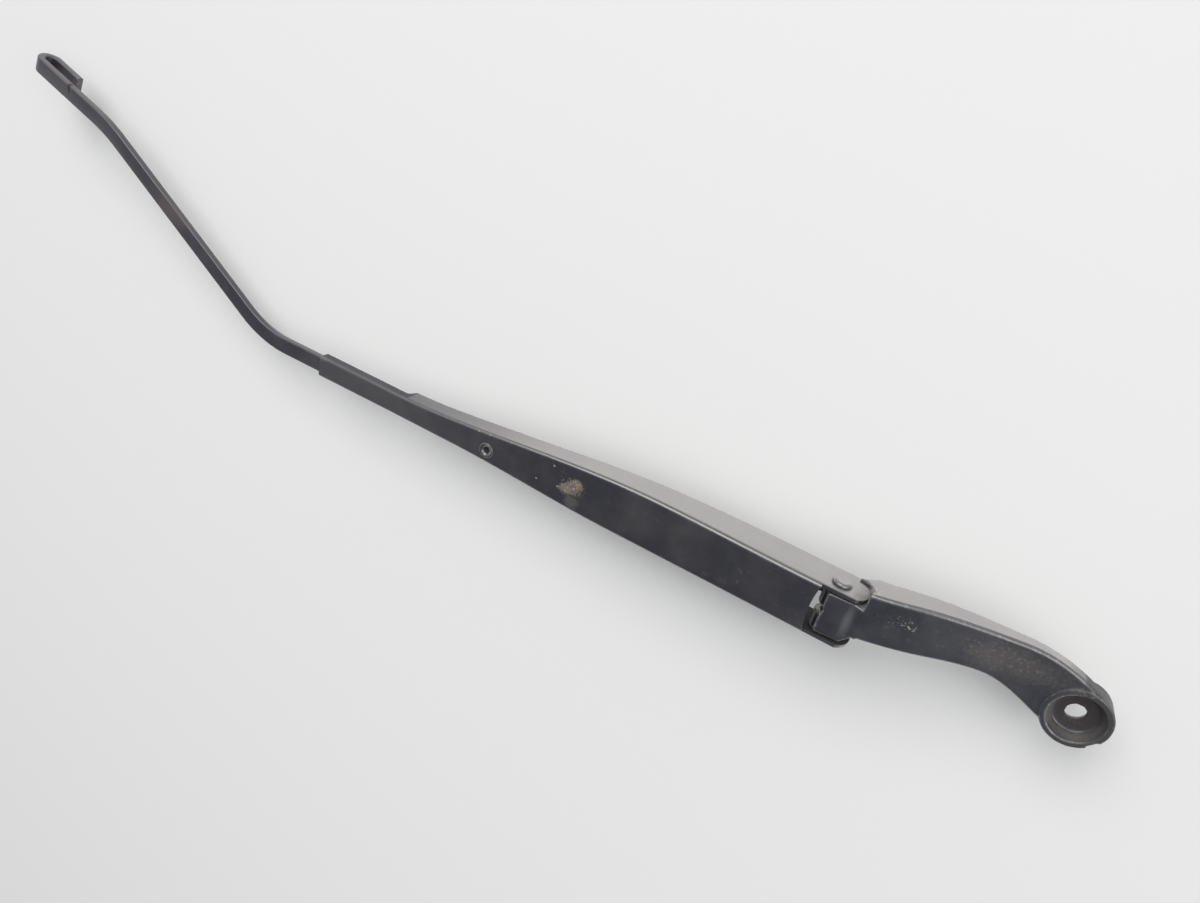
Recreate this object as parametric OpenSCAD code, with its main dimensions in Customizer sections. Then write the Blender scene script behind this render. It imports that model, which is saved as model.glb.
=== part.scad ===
// Windscreen wiper arm: die-cast head, pressed channel retainer, flat bar with a U hook.
// Millimetres. Origin: spindle axis at the nut seat. +Z leaves the glass, +X points to the hinge.
// The pieces beyond the hinge are drawn in the arm's own frame, whose origin is the hinge pin.

/* [Spindle boss] */
// Outside diameter of the boss
boss_d = 28.4; // [26:0.2:34]
// Height of the boss above the nut seat, which is the depth of the nut recess
recess_depth = 5; // [3:0.5:8]
// Depth of the boss below the nut seat
seat_depth = 5.5; // [5:0.5:10]
// Diameter of the nut recess at its rim
recess_d = 23.4; // [19:0.2:24]
// Diameter of the nut recess at its floor
recess_floor_d = 18.2; // [15:0.2:18.6]
// Hole for the threaded stud of the spindle
stud_hole_d = 8.4; // [6.4:0.2:9]
// Length of the cylindrical part of the stud hole
stud_hole_len = 2.5; // [1.5:0.5:4]
// Mouth diameter of the tapered socket under the stud hole
socket_mouth_d = 11.8; // [10.6:0.2:14]
// Width of the flat notch in the boss rim
rim_notch_w = 5.5; // [4:0.5:9]
// Depth of the flat notch in the boss rim
rim_notch_depth = 1; // [0.4:0.2:1.6]
// Height by which the boss stands proud of the neck
boss_proud = 0.5; // [0.2:0.1:1]

/* [Head] */
// Distance from the spindle axis to the hinge pin
hinge_reach = 106.8; // [100:0.2:125]
// Height of the hinge pin above the nut seat
hinge_rise = 4.4; // [2:0.2:7]
// Wall thickness of the hollow neck
neck_wall = 3.2; // [2.4:0.2:4]
// Height of the neck's top face at the hinge above the nut seat
neck_top = 12.6; // [11:0.2:13]
// Outside radius of the neck's long top edges
neck_edge_r = 1.6; // [1:0.1:4]
// Depth of the neck's lower edge below the nut seat
neck_drop = 2.2; // [1:0.2:4]
// Sideways offset of the neck's middle from the spindle axis
neck_bow = 12.8; // [10:0.2:13.4]
// Narrowest width of the neck
neck_w = 20.8; // [19:0.2:23]
// Width of the neck at the hinge shoulder
shoulder_w = 24; // [22:0.2:26]
// Sideways offset of the hinge shoulder from the spindle axis
shoulder_shift = 6.3; // [5:0.1:7.5]
// Radius of the shoulder's hollow face about the hinge pin
shoulder_r = 14.2; // [14:0.2:17]
// Thickness of the cross ribs under the neck
rib_t = 2.4; // [1.5:0.1:4]
// Radius of the tongue's nose about the hinge pin
nose_r = 6.6; // [6:0.2:7]

/* [Hinge] */
// Diameter of the hinge pin's shank
pin_d = 5; // [4.4:0.1:5.4]
// Diameter of the hinge pin's bevelled head
pin_head_d = 8.2; // [7.6:0.2:10]
// Height of the hinge pin's bevelled head
pin_head_h = 2; // [1:0.1:2.6]
// Diameter of the hinge pin's peened end
pin_peen_d = 8; // [7:0.2:10]
// Wall of the plastic bush in the tongue
bush_wall = 1.2; // [0.8:0.1:1.5]
// Thickness of the bush flange
flange_t = 1.3; // [0.8:0.1:2]
// Diameter of the bush flange
flange_d = 10; // [9.2:0.2:12.4]
// Radial running clearance of the pins
pin_play = 0.04; // [0.02:0.01:0.08]
// Side clearance between moving faces in the hinge
side_play = 0.15; // [0.1:0.05:0.4]
// Angle by which the arm hangs below the head when it rests on its stop
droop = 5; // [0:0.5:8]

/* [Retainer] */
// Thickness of the pressed sheet
sheet = 1.5; // [1.2:0.1:1.8]
// Outside width of the retainer at the hinge
hinge_w = 26.8; // [25:0.2:30]
// Height of the retainer's top face above the hinge pin
top_rise = 8.6; // [8:0.2:10]
// Height of the retainer's side walls at the hinge
flank_h = 20.8; // [19:0.2:23]
// Height of the side walls where the long taper ends
waist_h = 12.2; // [11:0.2:14]
// Extra half width of the belly on the bowed side
belly = 0.7; // [0:0.1:2]
// Distance from the hinge pin to the round end of the ears
ear_end = 12.9; // [11.6:0.1:13.2]
// Distance from the hinge pin to the edge of the slot in the top face
slot_edge = 8.4; // [8.2:0.2:12]
// Distance from the hinge pin to the start of the crimped tube
fold_end = 246; // [225:1:270]
// Distance from the hinge pin to the end of the crimped tube
tube_end = 292; // [280:1:310]
// Length over which the walls fold under the bar
fold_len = 13; // [8:1:20]
// Gap between the two folded lips under the bar
lip_gap = 0.8; // [0.4:0.2:2]
// Outside radius of the long top edges at the hinge
edge_r = 2.6; // [2:0.1:3.5]

/* [Bar] */
// Width of the flat bar
bar_w = 9; // [8:0.5:10]
// Thickness of the flat bar
bar_t = 4; // [3:0.5:4.5]
// Radius of the bar's long edges
bar_edge_r = 0.9; // [0.5:0.1:1.2]
// Distance from the hinge pin to the bar's hidden end
bar_start = 146; // [142:1:150]
// Sideways offset of the bar from the hinge's middle at that end
bar_offset = 3.3; // [2:0.1:4]
// Heading of the bar in the crimped tube
bar_heading = 0.5; // [0:0.1:1]
// Distance from the hinge pin to the corner of the elbow
elbow_at = 335; // [325:1:350]
// Angle of the elbow
elbow_angle = 31.2; // [20:0.2:40]
// Radius of the elbow
elbow_r = 60; // [40:1:80]
// Distance from the elbow's corner to the corner of the second bend
reach_len = 149; // [120:1:180]
// Angle of the second bend
tip_angle = 13.2; // [8:0.2:20]
// Radius of the second bend
tip_r = 90; // [60:1:120]
// Distance from the second bend's corner to the outside of the hook
tip_len = 65.5; // [55:0.5:80]
// Clear gap inside the hook
hook_gap = 5.8; // [5:0.2:7]
// Straight length of the hook's return leg
hook_leg = 19; // [14:0.5:24]

/* [Rivet] */
// Distance from the hinge pin to the rivet that holds the bar
rivet_at = 181; // [172:1:195]
// Shank diameter of the rivet
rivet_d = 4.4; // [3.6:0.2:5]
// Diameter of the rivet's heads
rivet_head_d = 8; // [6.4:0.2:8.4]
// Height of the rivet's heads
rivet_head_h = 0.9; // [0.5:0.1:1.4]
// Diameter of the hollow in the rivet's top
rivet_bore_d = 3; // [2:0.2:3.2]
// Depth of the hollow in the rivet's top
rivet_bore_h = 2.2; // [1:0.2:4]

/* [Spring and link] */
// Distance of the link pin behind the hinge pin
link_back = 3; // [2.4:0.1:3.4]
// Distance of the link pin below the hinge pin
link_drop = 7; // [6.7:0.1:7.3]
// Diameter of the link pin
link_pin_d = 4; // [3:0.1:4.4]
// Thickness of the link plate
link_t = 3; // [2:0.1:3.4]
// Radius of the link's eyes
link_eye_r = 3.2; // [3:0.1:3.6]
// Length of the link between its two eyes
link_len = 18.4; // [18:0.1:19.4]
// Depth of the link's bow at its middle line
link_bow = 6.5; // [6:0.1:6.5]
// Width of the link's bow
link_w = 3; // [2.4:0.1:3.2]
// Hole for the spring in the link
link_hole_d = 3.4; // [3:0.1:4.4]
// Outside diameter of the spring
spring_od = 11; // [9:0.5:12]
// Diameter of the spring wire
wire_d = 2.2; // [1.8:0.1:2.6]
// Pitch of the stretched coils
coil_pitch = 3.6; // [3.2:0.1:5]
// Number of coils
coils = 29; // [24:1:30]
// Height of the spring's front end above the hinge pin
anchor_rise = 1.5; // [0:0.1:2.4]
// Distance of the spring's front end from the bar's hidden end
anchor_in = 6.2; // [6:0.2:9]
// Length of the slot in the bar that takes the spring's hook
anchor_slot = 4; // [3.2:0.2:6]

/* [Hidden] */
CAST = [0.13, 0.13, 0.14];
PAINT = [0.09, 0.09, 0.1];
STEEL = [0.55, 0.55, 0.56];
PLASTIC = [0.2, 0.18, 0.16];
EPS = 0.01;
$fn = 64;

// What follows from the driving sizes
tongue_w = hinge_w - 2 * (sheet + side_play + flange_t);
link_slot_w = link_t + 1.4;
skin_z = nose_r - 1.7;
cheek_r = link_eye_r + 1;
tube_w = bar_w + 2 * sheet;
tube_h = bar_t + 2 * sheet;
bar_top = top_rise - sheet;
bar_mid = bar_top - bar_t / 2;
anchor_x = bar_start + anchor_in;
coil_r = (spring_od - wire_d) / 2;
line_dx = anchor_x * cos(droop) + anchor_rise * sin(droop) + link_back;
line_dz = anchor_rise * cos(droop) - anchor_x * sin(droop) + link_drop;
line_len = sqrt(line_dx * line_dx + line_dz * line_dz);
line_pitch = atan2(line_dz, line_dx);
hook_mid_r = hook_gap / 2 + bar_t / 2;

// Small helpers
function clamp01(t) = min(1, max(0, t));
function ease(t) = let(u = clamp01(t)) u * u * (3 - 2 * u);
function mix(a, b, t) = a + (b - a) * t;
function span(a, b, n) = [for (i = [0:n]) mix(a, b, i / n)];
function rev(v) = [for (i = [len(v) - 1:-1:0]) v[i]];
function unit(v) = v / norm(v);

// A skin over rings of one even length. Each end is closed by a strip of triangles across the
// ring, from its first half to its second, so that a thin folded section closes cleanly too.
module skin(rings) {
    m = len(rings[0]);
    n = len(rings);
    sides = [for (i = [0:n - 2], j = [0:m - 1]) let(k = (j + 1) % m)
        each [[i * m + j, i * m + k, (i + 1) * m + k], [i * m + j, (i + 1) * m + k, (i + 1) * m + j]]];
    strip = [for (j = [0:m / 2 - 2]) each [[j, j + 1, m - 2 - j], [j, m - 2 - j, m - 1 - j]]];
    near_end = [for (f = strip) [f[2], f[1], f[0]]];
    far_end = [for (f = strip) [for (v = f) v + (n - 1) * m]];
    polyhedron(points = [for (r = rings) each r], faces = concat(near_end, sides, far_end), convexity = 8);
}

// Middle line of half a channel's section, from the top's middle over the corner to the foot.
// Each entry holds a point and the outward normal there, in the plane across the channel.
function half_top(half_w, r_top) = concat(
    [[[0, 0], [0, 1]]],
    [for (a = span(90, 0, 4)) [[half_w - r_top + r_top * cos(a), r_top * sin(a) - r_top], [cos(a), sin(a)]]]);

// Half a casting's section, whose outside and inside corners have their own radii
function corner(half_w, wall, r) = concat([[0, 0]],
    [for (a = span(90, 0, 4)) [half_w - r + r * cos(a), r * sin(a) - r]], [[half_w, -wall]]);
function half_cast(half_w, wall, t, r_out, r_in) = let(
        out = corner(half_w, wall, r_out),
        inn = corner(half_w - t, wall - t, r_in))
    [for (i = [0:len(out) - 1]) [(out[i] + inn[i]) / 2, (out[i] - inn[i] + [0, t]) / t]];

// The same with a foot that folds inwards. Below the height wall, the distance s down the sheet
// lies on the fold's arc of radius r up to the angle fold, and beyond it on the straight lip.
function foot_point(half_w, wall, r, fold, s) = let(
        a = min(fold, s / r * 180 / PI),
        rest = s - r * a * PI / 180)
    [[half_w - r + r * cos(a) - rest * sin(a), -wall - r * sin(a) - rest * cos(a)], [cos(a), -sin(a)]];
function half_fold(half_w, wall, r_top, r, fold, foot) = concat(half_top(half_w, r_top),
    [for (i = [0:3]) foot_point(half_w, wall, r, fold, r * PI / 2 * i / 3)],
    [foot_point(half_w, wall, r, fold, foot)]);

// One ring of a folded channel: its outside, then back along its inside
function fold_ring(x, y, z, t, half) = let(
        out = [for (p = half) p[0] + p[1] * t / 2],
        inn = [for (p = half) p[0] - p[1] * t / 2],
        left = [for (p = rev(out)) [-p[0], p[1]]],
        back = [for (p = inn) [-p[0], p[1]]],
        loop = concat(left, [for (i = [1:len(out) - 1]) out[i]], rev(inn), [for (i = [1:len(back) - 1]) back[i]]))
    [for (p = loop) [x, y + p[0], z - t / 2 + p[1]]];

// The same section, filled solid down to the height z_low
function solid_ring(x, y, z, t, half, z_low) = let(
        out = [for (i = [1:len(half) - 1]) half[i][0] + half[i][1] * t / 2],
        loop = concat([for (p = rev(out)) [-p[0], p[1]]], out))
    [for (p = loop) [x, y + p[0], max(z_low, z - t / 2 + p[1])]];

// The neck of the head: its plan bows sideways between the boss and the hinge shoulder. Towards
// the boss its right edge curves in to meet the boss's circle and its left edge swings out to it.
shoulder_x = hinge_reach - 12;
neck_mid_x = shoulder_x * 0.44;
bend_x = neck_mid_x * 0.72;
neck_end_x = -boss_d * 0.21;
neck_low = -neck_drop;
bow_edge = neck_bow + neck_w / 2;
end_edge = sqrt(pow(boss_d / 2 - 0.1, 2) - neck_end_x * neck_end_x);
function near_right(x) = (bow_edge - end_edge) * pow(max(0, bend_x - x) / (bend_x - neck_end_x), 2) - bow_edge;
function near_left(x) = mix(neck_w / 2 - neck_bow, boss_d * 0.43, ease((neck_mid_x - x) / (neck_mid_x + 4.3)));
function neck_y(x) = x > neck_mid_x
    ? -mix(neck_bow, shoulder_shift, ease((x - neck_mid_x) / (shoulder_x + 14 - neck_mid_x)))
    : (near_left(x) + near_right(x)) / 2;
function neck_half(x) = x > neck_mid_x
    ? mix(neck_w, shoulder_w, ease((x - neck_mid_x) / (shoulder_x * 0.8 - neck_mid_x))) / 2
    : (near_left(x) - near_right(x)) / 2;
function neck_z(x) = mix(recess_depth - boss_proud, neck_top, ease((x - boss_d / 2) / (shoulder_x - boss_d / 2)));
function neck_plain(x) = half_cast(neck_half(x), neck_z(x) - neck_low, neck_wall, neck_edge_r, 2);
neck_bulk_x = shoulder_x - 7;
neck_left = neck_y(shoulder_x) + neck_half(shoulder_x);

module neck_shell() {
    skin([for (x = concat(span(neck_end_x, neck_mid_x, 16), span(neck_mid_x + 4, neck_bulk_x + 1, 13)))
        fold_ring(x, neck_y(x), neck_z(x), neck_wall, neck_plain(x))]);
}

module neck_bulkhead() {
    skin([for (x = span(neck_bulk_x, shoulder_x, 2))
        solid_ring(x, neck_y(x), neck_z(x), neck_wall, neck_plain(x), neck_low)]);
}

// Cross ribs of the casting, buried a little in both walls and in the top
module neck_rib(x) {
    w = 2 * neck_half(x) - neck_wall;
    h = neck_z(x) - neck_low - neck_wall / 2 - 1.5;
    translate([x, neck_y(x) - w / 2, neck_low + 1.5]) cube([rib_t, w, h]);
}

// Side outline of the tongue, about the hinge pin: a nose round the hinge pin, a boss round the
// link pin, a straight front between them, and a short ramp up to the top of the neck
module tongue_outline() {
    root = shoulder_x - hinge_reach - 2;
    crest = neck_top - hinge_rise;
    link = [-link_back, -link_drop];
    front = atan2(-link_drop, -link_back) + acos((nose_r - cheek_r) / norm(link));
    toward = [cos(front), sin(front)];
    circle(nose_r);
    polygon([[0, 0], [nose_r * 0.55, 0], [nose_r * 0.55, nose_r], [0, nose_r]]);
    translate(link) circle(cheek_r);
    polygon([[root, crest], [root + 2, crest], [-nose_r * 1.25, nose_r], [0, nose_r], toward * nose_r,
        link + toward * cheek_r, link - [0, cheek_r], [root, neck_low - hinge_rise]]);
}

module mounting_head() {
    color(CAST) difference() {
        union() {
            neck_shell();
            neck_bulkhead();
            for (f = [0.38, 0.66]) neck_rib(mix(neck_end_x, shoulder_x, f));
            translate([0, 0, -seat_depth]) cylinder(d = boss_d, h = seat_depth + recess_depth);
            translate([hinge_reach, tongue_w / 2, hinge_rise]) rotate([90, 0, 0]) linear_extrude(tongue_w) tongue_outline();
        }
        // nut recess with draft, stud hole and tapered socket
        cylinder(d1 = recess_floor_d, d2 = recess_d, h = recess_depth);
        translate([0, 0, recess_depth - EPS]) cylinder(d = recess_d, h = 4);
        translate([0, 0, -stud_hole_len]) cylinder(d = stud_hole_d, h = stud_hole_len + 1);
        translate([0, 0, -seat_depth - EPS])
            cylinder(d1 = socket_mouth_d, d2 = stud_hole_d + 1.2, h = seat_depth - stud_hole_len + EPS);
        rotate([0, 0, 141]) translate([boss_d / 2 - rim_notch_depth, -rim_notch_w / 2, 0])
            cube([4, rim_notch_w, recess_depth + 4]);
        // the hollow faces of the shoulder, round the ears
        for (s = [-1, 1]) translate([hinge_reach, s * (tongue_w / 2 + 10), hinge_rise]) rotate([90, 0, 0])
            cylinder(r = shoulder_r, h = 20, center = true, $fn = 128);
        // the tongue's left side narrows behind the ear, down to the neck's edge
        translate([hinge_reach, 0, hinge_rise - 25]) linear_extrude(50) polygon([[-nose_r * 1.25, tongue_w / 2],
            [-12, neck_left], [-40, neck_left], [-40, neck_left + 12], [-nose_r * 1.25, neck_left + 12]]);
        // bores for the bushes and the link pin, and the slot for the link, which is open at the nose
        translate([hinge_reach, 0, hinge_rise]) rotate([90, 0, 0])
            cylinder(d = pin_d + 2 * (bush_wall + pin_play), h = tongue_w + 10, center = true);
        translate([hinge_reach - link_back, 0, hinge_rise - link_drop]) rotate([90, 0, 0])
            cylinder(d = link_pin_d, h = tongue_w + 10, center = true);
        translate([hinge_reach - link_back - cheek_r, -link_slot_w / 2, hinge_rise - 20])
            cube([40, link_slot_w, 20 + skin_z]);
        translate([hinge_reach + nose_r * 0.48, -link_slot_w / 2, hinge_rise - 20]) cube([20, link_slot_w, 40]);
    }
}

// Flanged plastic sleeve in one cheek of the tongue
module bush_body() {
    sleeve = (tongue_w - link_slot_w) / 2;
    difference() {
        union() {
            translate([0, 0, link_slot_w / 2]) cylinder(d = pin_d + 2 * (bush_wall + pin_play), h = sleeve + EPS);
            translate([0, 0, tongue_w / 2]) cylinder(d = flange_d, h = flange_t);
        }
        cylinder(d = pin_d + 2 * pin_play, h = tongue_w);
    }
}

module pin_bush_right() {
    color(PLASTIC) translate([hinge_reach, 0, hinge_rise]) rotate([90, 0, 0]) bush_body();
}

module pin_bush_left() {
    color(PLASTIC) translate([hinge_reach, 0, hinge_rise]) rotate([-90, 0, 0]) bush_body();
}

// Pressed into the two cheeks of the tongue, flush with them
module link_pin() {
    color(STEEL) translate([hinge_reach - link_back, 0, hinge_rise - link_drop]) rotate([90, 0, 0])
        cylinder(d = link_pin_d, h = tongue_w, center = true);
}

// Places what is drawn about the hinge pin
module on_arm() {
    translate([hinge_reach, 0, hinge_rise]) rotate([0, droop, 0]) children();
}

// Rivet through both ears, with a raised bevelled head on one side and a peened dome on the other
module hinge_pin() {
    half = hinge_w / 2;
    bevel = pin_head_h * 0.45;
    color(STEEL) on_arm() rotate([90, 0, 0]) rotate_extrude() polygon(concat(
        [[0, -half - 1.2], [pin_peen_d * 0.26, -half - 1.1], [pin_peen_d * 0.43, -half - 0.7],
            [pin_peen_d / 2, -half], [pin_d / 2, -half]],
        [[pin_d / 2, half], [pin_head_d / 2, half], [pin_head_d / 2, half + pin_head_h - bevel],
            [pin_head_d / 2 - bevel, half + pin_head_h], [0, half + pin_head_h]]));
}

// Plan and height of the retainer, x counted from the hinge pin
fold_start = fold_end - fold_len;
function bar_line_y(x) = bar_offset + (x - bar_start) * tan(bar_heading);
tube_left = bar_line_y(fold_end) + tube_w / 2;
tube_right = bar_line_y(fold_end) - tube_w / 2;
function left_edge(x) = mix(hinge_w / 2, tube_left, ease((x - fold_end * 0.43) / (fold_end * 0.4)));
function right_edge(x) = x < fold_end * 0.35
    ? -hinge_w / 2 - belly * ease((x - 14) / (fold_end * 0.33 - 14))
    : mix(-hinge_w / 2 - belly, tube_right, ease((x - fold_end * 0.35) / (fold_end * 0.64)));
function flank(x) = mix(flank_h, waist_h, ease((x - 20) / (fold_end * 0.6)))
    - (waist_h - developed_h) * ease((x - fold_end * 0.68) / (fold_start - fold_end * 0.68));
function fold_of(x) = 90 * ease((x - fold_start) / fold_len);
fold_r = sheet / 2 + 0.5;
tube_wall = tube_h - sheet - fold_r;
tube_lip = tube_w / 2 - sheet / 2 - fold_r - lip_gap / 2;
developed_h = sheet / 2 + tube_wall + fold_r * PI / 2 + tube_lip;
function top_r(x) = mix(edge_r, 1.9, ease(x / fold_end)) - sheet / 2;
function retainer_half(x) = let(f = fold_of(x))
    half_fold((left_edge(x) - right_edge(x)) / 2 - sheet / 2, tube_wall, top_r(x), fold_r, f,
        flank(x) - sheet / 2 - tube_wall);
function retainer_y(x) = x < fold_end ? (left_edge(x) + right_edge(x)) / 2 : bar_line_y(x);
retainer_stations = concat([-ear_end - 1, 12, 30], span(45, fold_start - 3, 18), span(fold_start, fold_end, 9),
    [fold_end + 1.5, tube_end]);

// What is left of an ear when its end is rounded
module ear_waste() {
    mid = top_rise - flank_h / 2;
    r = flank_h / 2;
    difference() {
        translate([-ear_end - 6, mid - r - 2]) square([ear_end + 6 - (ear_end - r), 2 * r + 4]);
        translate([r - ear_end, mid]) circle(r, $fn = 96);
    }
}

module retainer() {
    color(PAINT) on_arm() difference() {
        skin([for (x = retainer_stations) fold_ring(x, retainer_y(x), top_rise, sheet, retainer_half(x))]);
        // the slot that lets the head's tongue in, with a slightly bowed front edge; it stops in the ridges
        translate([slot_edge - 60, 0, bar_top - 0.1]) cylinder(r = 60, h = sheet + 1, $fn = 256);
        // the round ends of the ears and the pin's holes
        translate([0, hinge_w, 0]) rotate([90, 0, 0]) linear_extrude(2 * hinge_w) ear_waste();
        rotate([90, 0, 0]) cylinder(d = pin_d, h = hinge_w + 4, center = true);
        translate([rivet_at, bar_line_y(rivet_at), bar_top - 1]) cylinder(d = rivet_d, h = sheet + 2);
    }
}

// Sections of the flat bar: a rectangle with rounded long edges
bar_profile = [for (q = [[1, 1, 0], [-1, 1, 90], [-1, -1, 180], [1, -1, 270]], a = span(0, 90, 2))
    [q[0] * (bar_w / 2 - bar_edge_r) + bar_edge_r * cos(a + q[2]), q[1] * (bar_t / 2 - bar_edge_r) + bar_edge_r * sin(a + q[2])]];
function heading(a) = [cos(a), sin(a), 0];
function bar_ring(p, a, pitch) = let(side = [-sin(a), cos(a), 0], up = heading(a) * sin(pitch) + [0, 0, cos(pitch)])
    [for (q = bar_profile) p + side * q[0] + up * q[1]];
function arc_points(p, a, turn, r, n) = let(s = turn < 0 ? -1 : 1, c = p + s * r * [-sin(a), cos(a), 0])
    [for (t = span(0, turn, n)) [c - s * r * [-sin(a + t), cos(a + t), 0], a + t, 0]];

// The bar's middle line: hidden end, elbow, second bend, then the hook that turns under
h0 = bar_heading;
h1 = h0 - elbow_angle;
h2 = h1 + tip_angle;
elbow_tangent = elbow_r * tan(elbow_angle / 2);
tip_tangent = tip_r * tan(tip_angle / 2);
bar_begin = [bar_start, bar_offset, bar_mid];
elbow_corner = bar_begin + heading(h0) * (elbow_at - bar_start);
tip_corner = elbow_corner + heading(h1) * reach_len;
hook_centre = tip_corner + heading(h2) * (tip_len - hook_mid_r - bar_t / 2) - [0, 0, hook_mid_r];
bar_path = concat(
    [[bar_begin, h0, 0]],
    arc_points(elbow_corner - heading(h0) * elbow_tangent, h0, -elbow_angle, elbow_r, 7),
    arc_points(tip_corner - heading(h1) * tip_tangent, h1, tip_angle, tip_r, 5),
    [for (t = span(0, 180, 14)) [hook_centre + hook_mid_r * (heading(h2) * sin(t) + [0, 0, cos(t)]), h2, t]],
    [[hook_centre - [0, 0, hook_mid_r] - heading(h2) * hook_leg, h2, 180]]);

module arm_bar() {
    slot_r = wire_d / 2 + 0.4;
    run = anchor_slot - 2 * slot_r;
    color(PAINT) on_arm() difference() {
        skin([for (s = bar_path) bar_ring(s[0], s[1], s[2])]);
        translate([rivet_at, bar_line_y(rivet_at), bar_top - bar_t - 1]) cylinder(d = rivet_d, h = bar_t + 2);
        // slot for the spring's hook: two round ends and what lies between them
        translate([anchor_x, bar_line_y(anchor_x), bar_top - bar_t - 1]) {
            cylinder(r = slot_r, h = bar_t + 2, $fn = 32);
            translate([run, 0, 0]) cylinder(r = slot_r, h = bar_t + 2, $fn = 32);
            translate([0, -slot_r, 0]) cube([run, 2 * slot_r, bar_t + 2]);
        }
    }
}

// Semi-tubular rivet through the retainer's top and the bar
module bar_rivet() {
    low = bar_top - bar_t;
    r = rivet_head_d / 2;
    color(PAINT) on_arm() translate([rivet_at, bar_line_y(rivet_at), 0]) rotate_extrude() polygon([
        [0, low - rivet_head_h], [r - 0.5, low - rivet_head_h], [r, low - rivet_head_h / 2], [r, low],
        [rivet_d / 2, low], [rivet_d / 2, top_rise], [r, top_rise], [r, top_rise + rivet_head_h / 3],
        [r - 0.4, top_rise + rivet_head_h], [rivet_bore_d / 2 + 0.5, top_rise + rivet_head_h],
        [rivet_bore_d / 2, top_rise + rivet_head_h - 0.4], [rivet_bore_d / 2, top_rise + rivet_head_h - rivet_bore_h],
        [0, top_rise + rivet_head_h - rivet_bore_h]]);
}

// Places what lies on the line of pull, which runs from the link pin to the bar's slot
module on_pull_line() {
    translate([hinge_reach - link_back, 0, hinge_rise - link_drop]) rotate([0, -line_pitch, 0]) children();
}

// C-shaped plate that carries the spring's pull round the hinge pin to the link pin
module spring_link() {
    bow_r = (link_len * link_len / 4 + link_bow * link_bow) / (2 * link_bow);
    color(STEEL) on_pull_line() rotate([90, 0, 0]) translate([0, 0, -link_t / 2]) linear_extrude(link_t) difference() {
        union() {
            circle(link_eye_r);
            translate([link_len, 0]) circle(link_eye_r);
            intersection() {
                translate([link_len / 2, bow_r - link_bow]) difference() {
                    circle(bow_r + link_w / 2, $fn = 128);
                    circle(bow_r - link_w / 2, $fn = 128);
                }
                translate([-0.4, -link_bow - link_w]) square([link_len + 0.8, link_bow + link_w + 1]);
            }
        }
        circle(d = link_pin_d + 2 * pin_play);
        translate([link_len, 0]) circle(d = link_hole_d);
    }
}

// The spring's wire: a loop through the link, the coils, and a hook that turns up into the bar
anchor_y = bar_line_y(anchor_x);
spring_yaw = atan2(anchor_y, line_len - link_len);
loop_x = coil_r + 0.3;
coil_x = loop_x + coil_r * 0.6;
coil_end = coil_x + coils * coil_pitch;
hook_x = norm([line_len - link_len, anchor_y]);
turn_steps = 12;
wire_path = concat(
    [for (a = span(330, 100, 9)) [[loop_x + coil_r * cos(a), coil_r * sin(a), 0], [cos(a), sin(a), 0]]],
    [for (i = [0:coils * turn_steps + turn_steps / 4]) let(a = i * 360 / turn_steps)
        [[coil_x + coil_pitch * a / 360, coil_r * cos(a), coil_r * sin(a)], [0, cos(a), sin(a)]]],
    [for (t = span(0.25, 1, 3)) [[coil_end + coil_pitch / 4 + 7 * t, 0, coil_r * (1 - ease(t))], [0, 0, 1]]],
    [for (a = span(0, 80, 3)) [[hook_x - 2 + 2 * sin(a), 0, 2 - 2 * cos(a)], [-sin(a), 0, cos(a)]]],
    [[[hook_x, 0, bar_top - anchor_rise - 0.4], [-1, 0, 0]]]);

// An eight-sided tube round the path; each entry gives a point and a direction across the wire
function wire_ring(i) = let(
        n = len(wire_path),
        along = unit(wire_path[min(i + 1, n - 1)][0] - wire_path[max(i - 1, 0)][0]),
        across = unit(wire_path[i][1] - along * (along * wire_path[i][1])),
        third = cross(along, across))
    [for (a = [0:45:315]) wire_path[i][0] + (across * cos(a) + third * sin(a)) * wire_d / 2];

module tension_spring() {
    color(STEEL) on_pull_line() translate([link_len, 0, 0]) rotate([0, 0, spring_yaw]) skin([for (i = [0:len(wire_path) - 1]) wire_ring(i)]);
}

mounting_head();
pin_bush_right();
pin_bush_left();
link_pin();
hinge_pin();
retainer();
arm_bar();
bar_rivet();
spring_link();
tension_spring();
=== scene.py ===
# %% [markdown]
# # A used windscreen wiper arm
# The arm has a cast mounting head that bolts to the wiper spindle, a hinge, a long pressed channel
# called the retainer, and a flat bar that ends in a U hook for the blade. The solids come from the
# part's construction model. This script dresses them: it smooths the forms, lays on the black paint
# and its wear, and lights the arm on a pale table.

# %% Load the fixed frame
import math

import bmesh
import bpy
import numpy as np
from mathutils import Matrix, Vector


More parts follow.
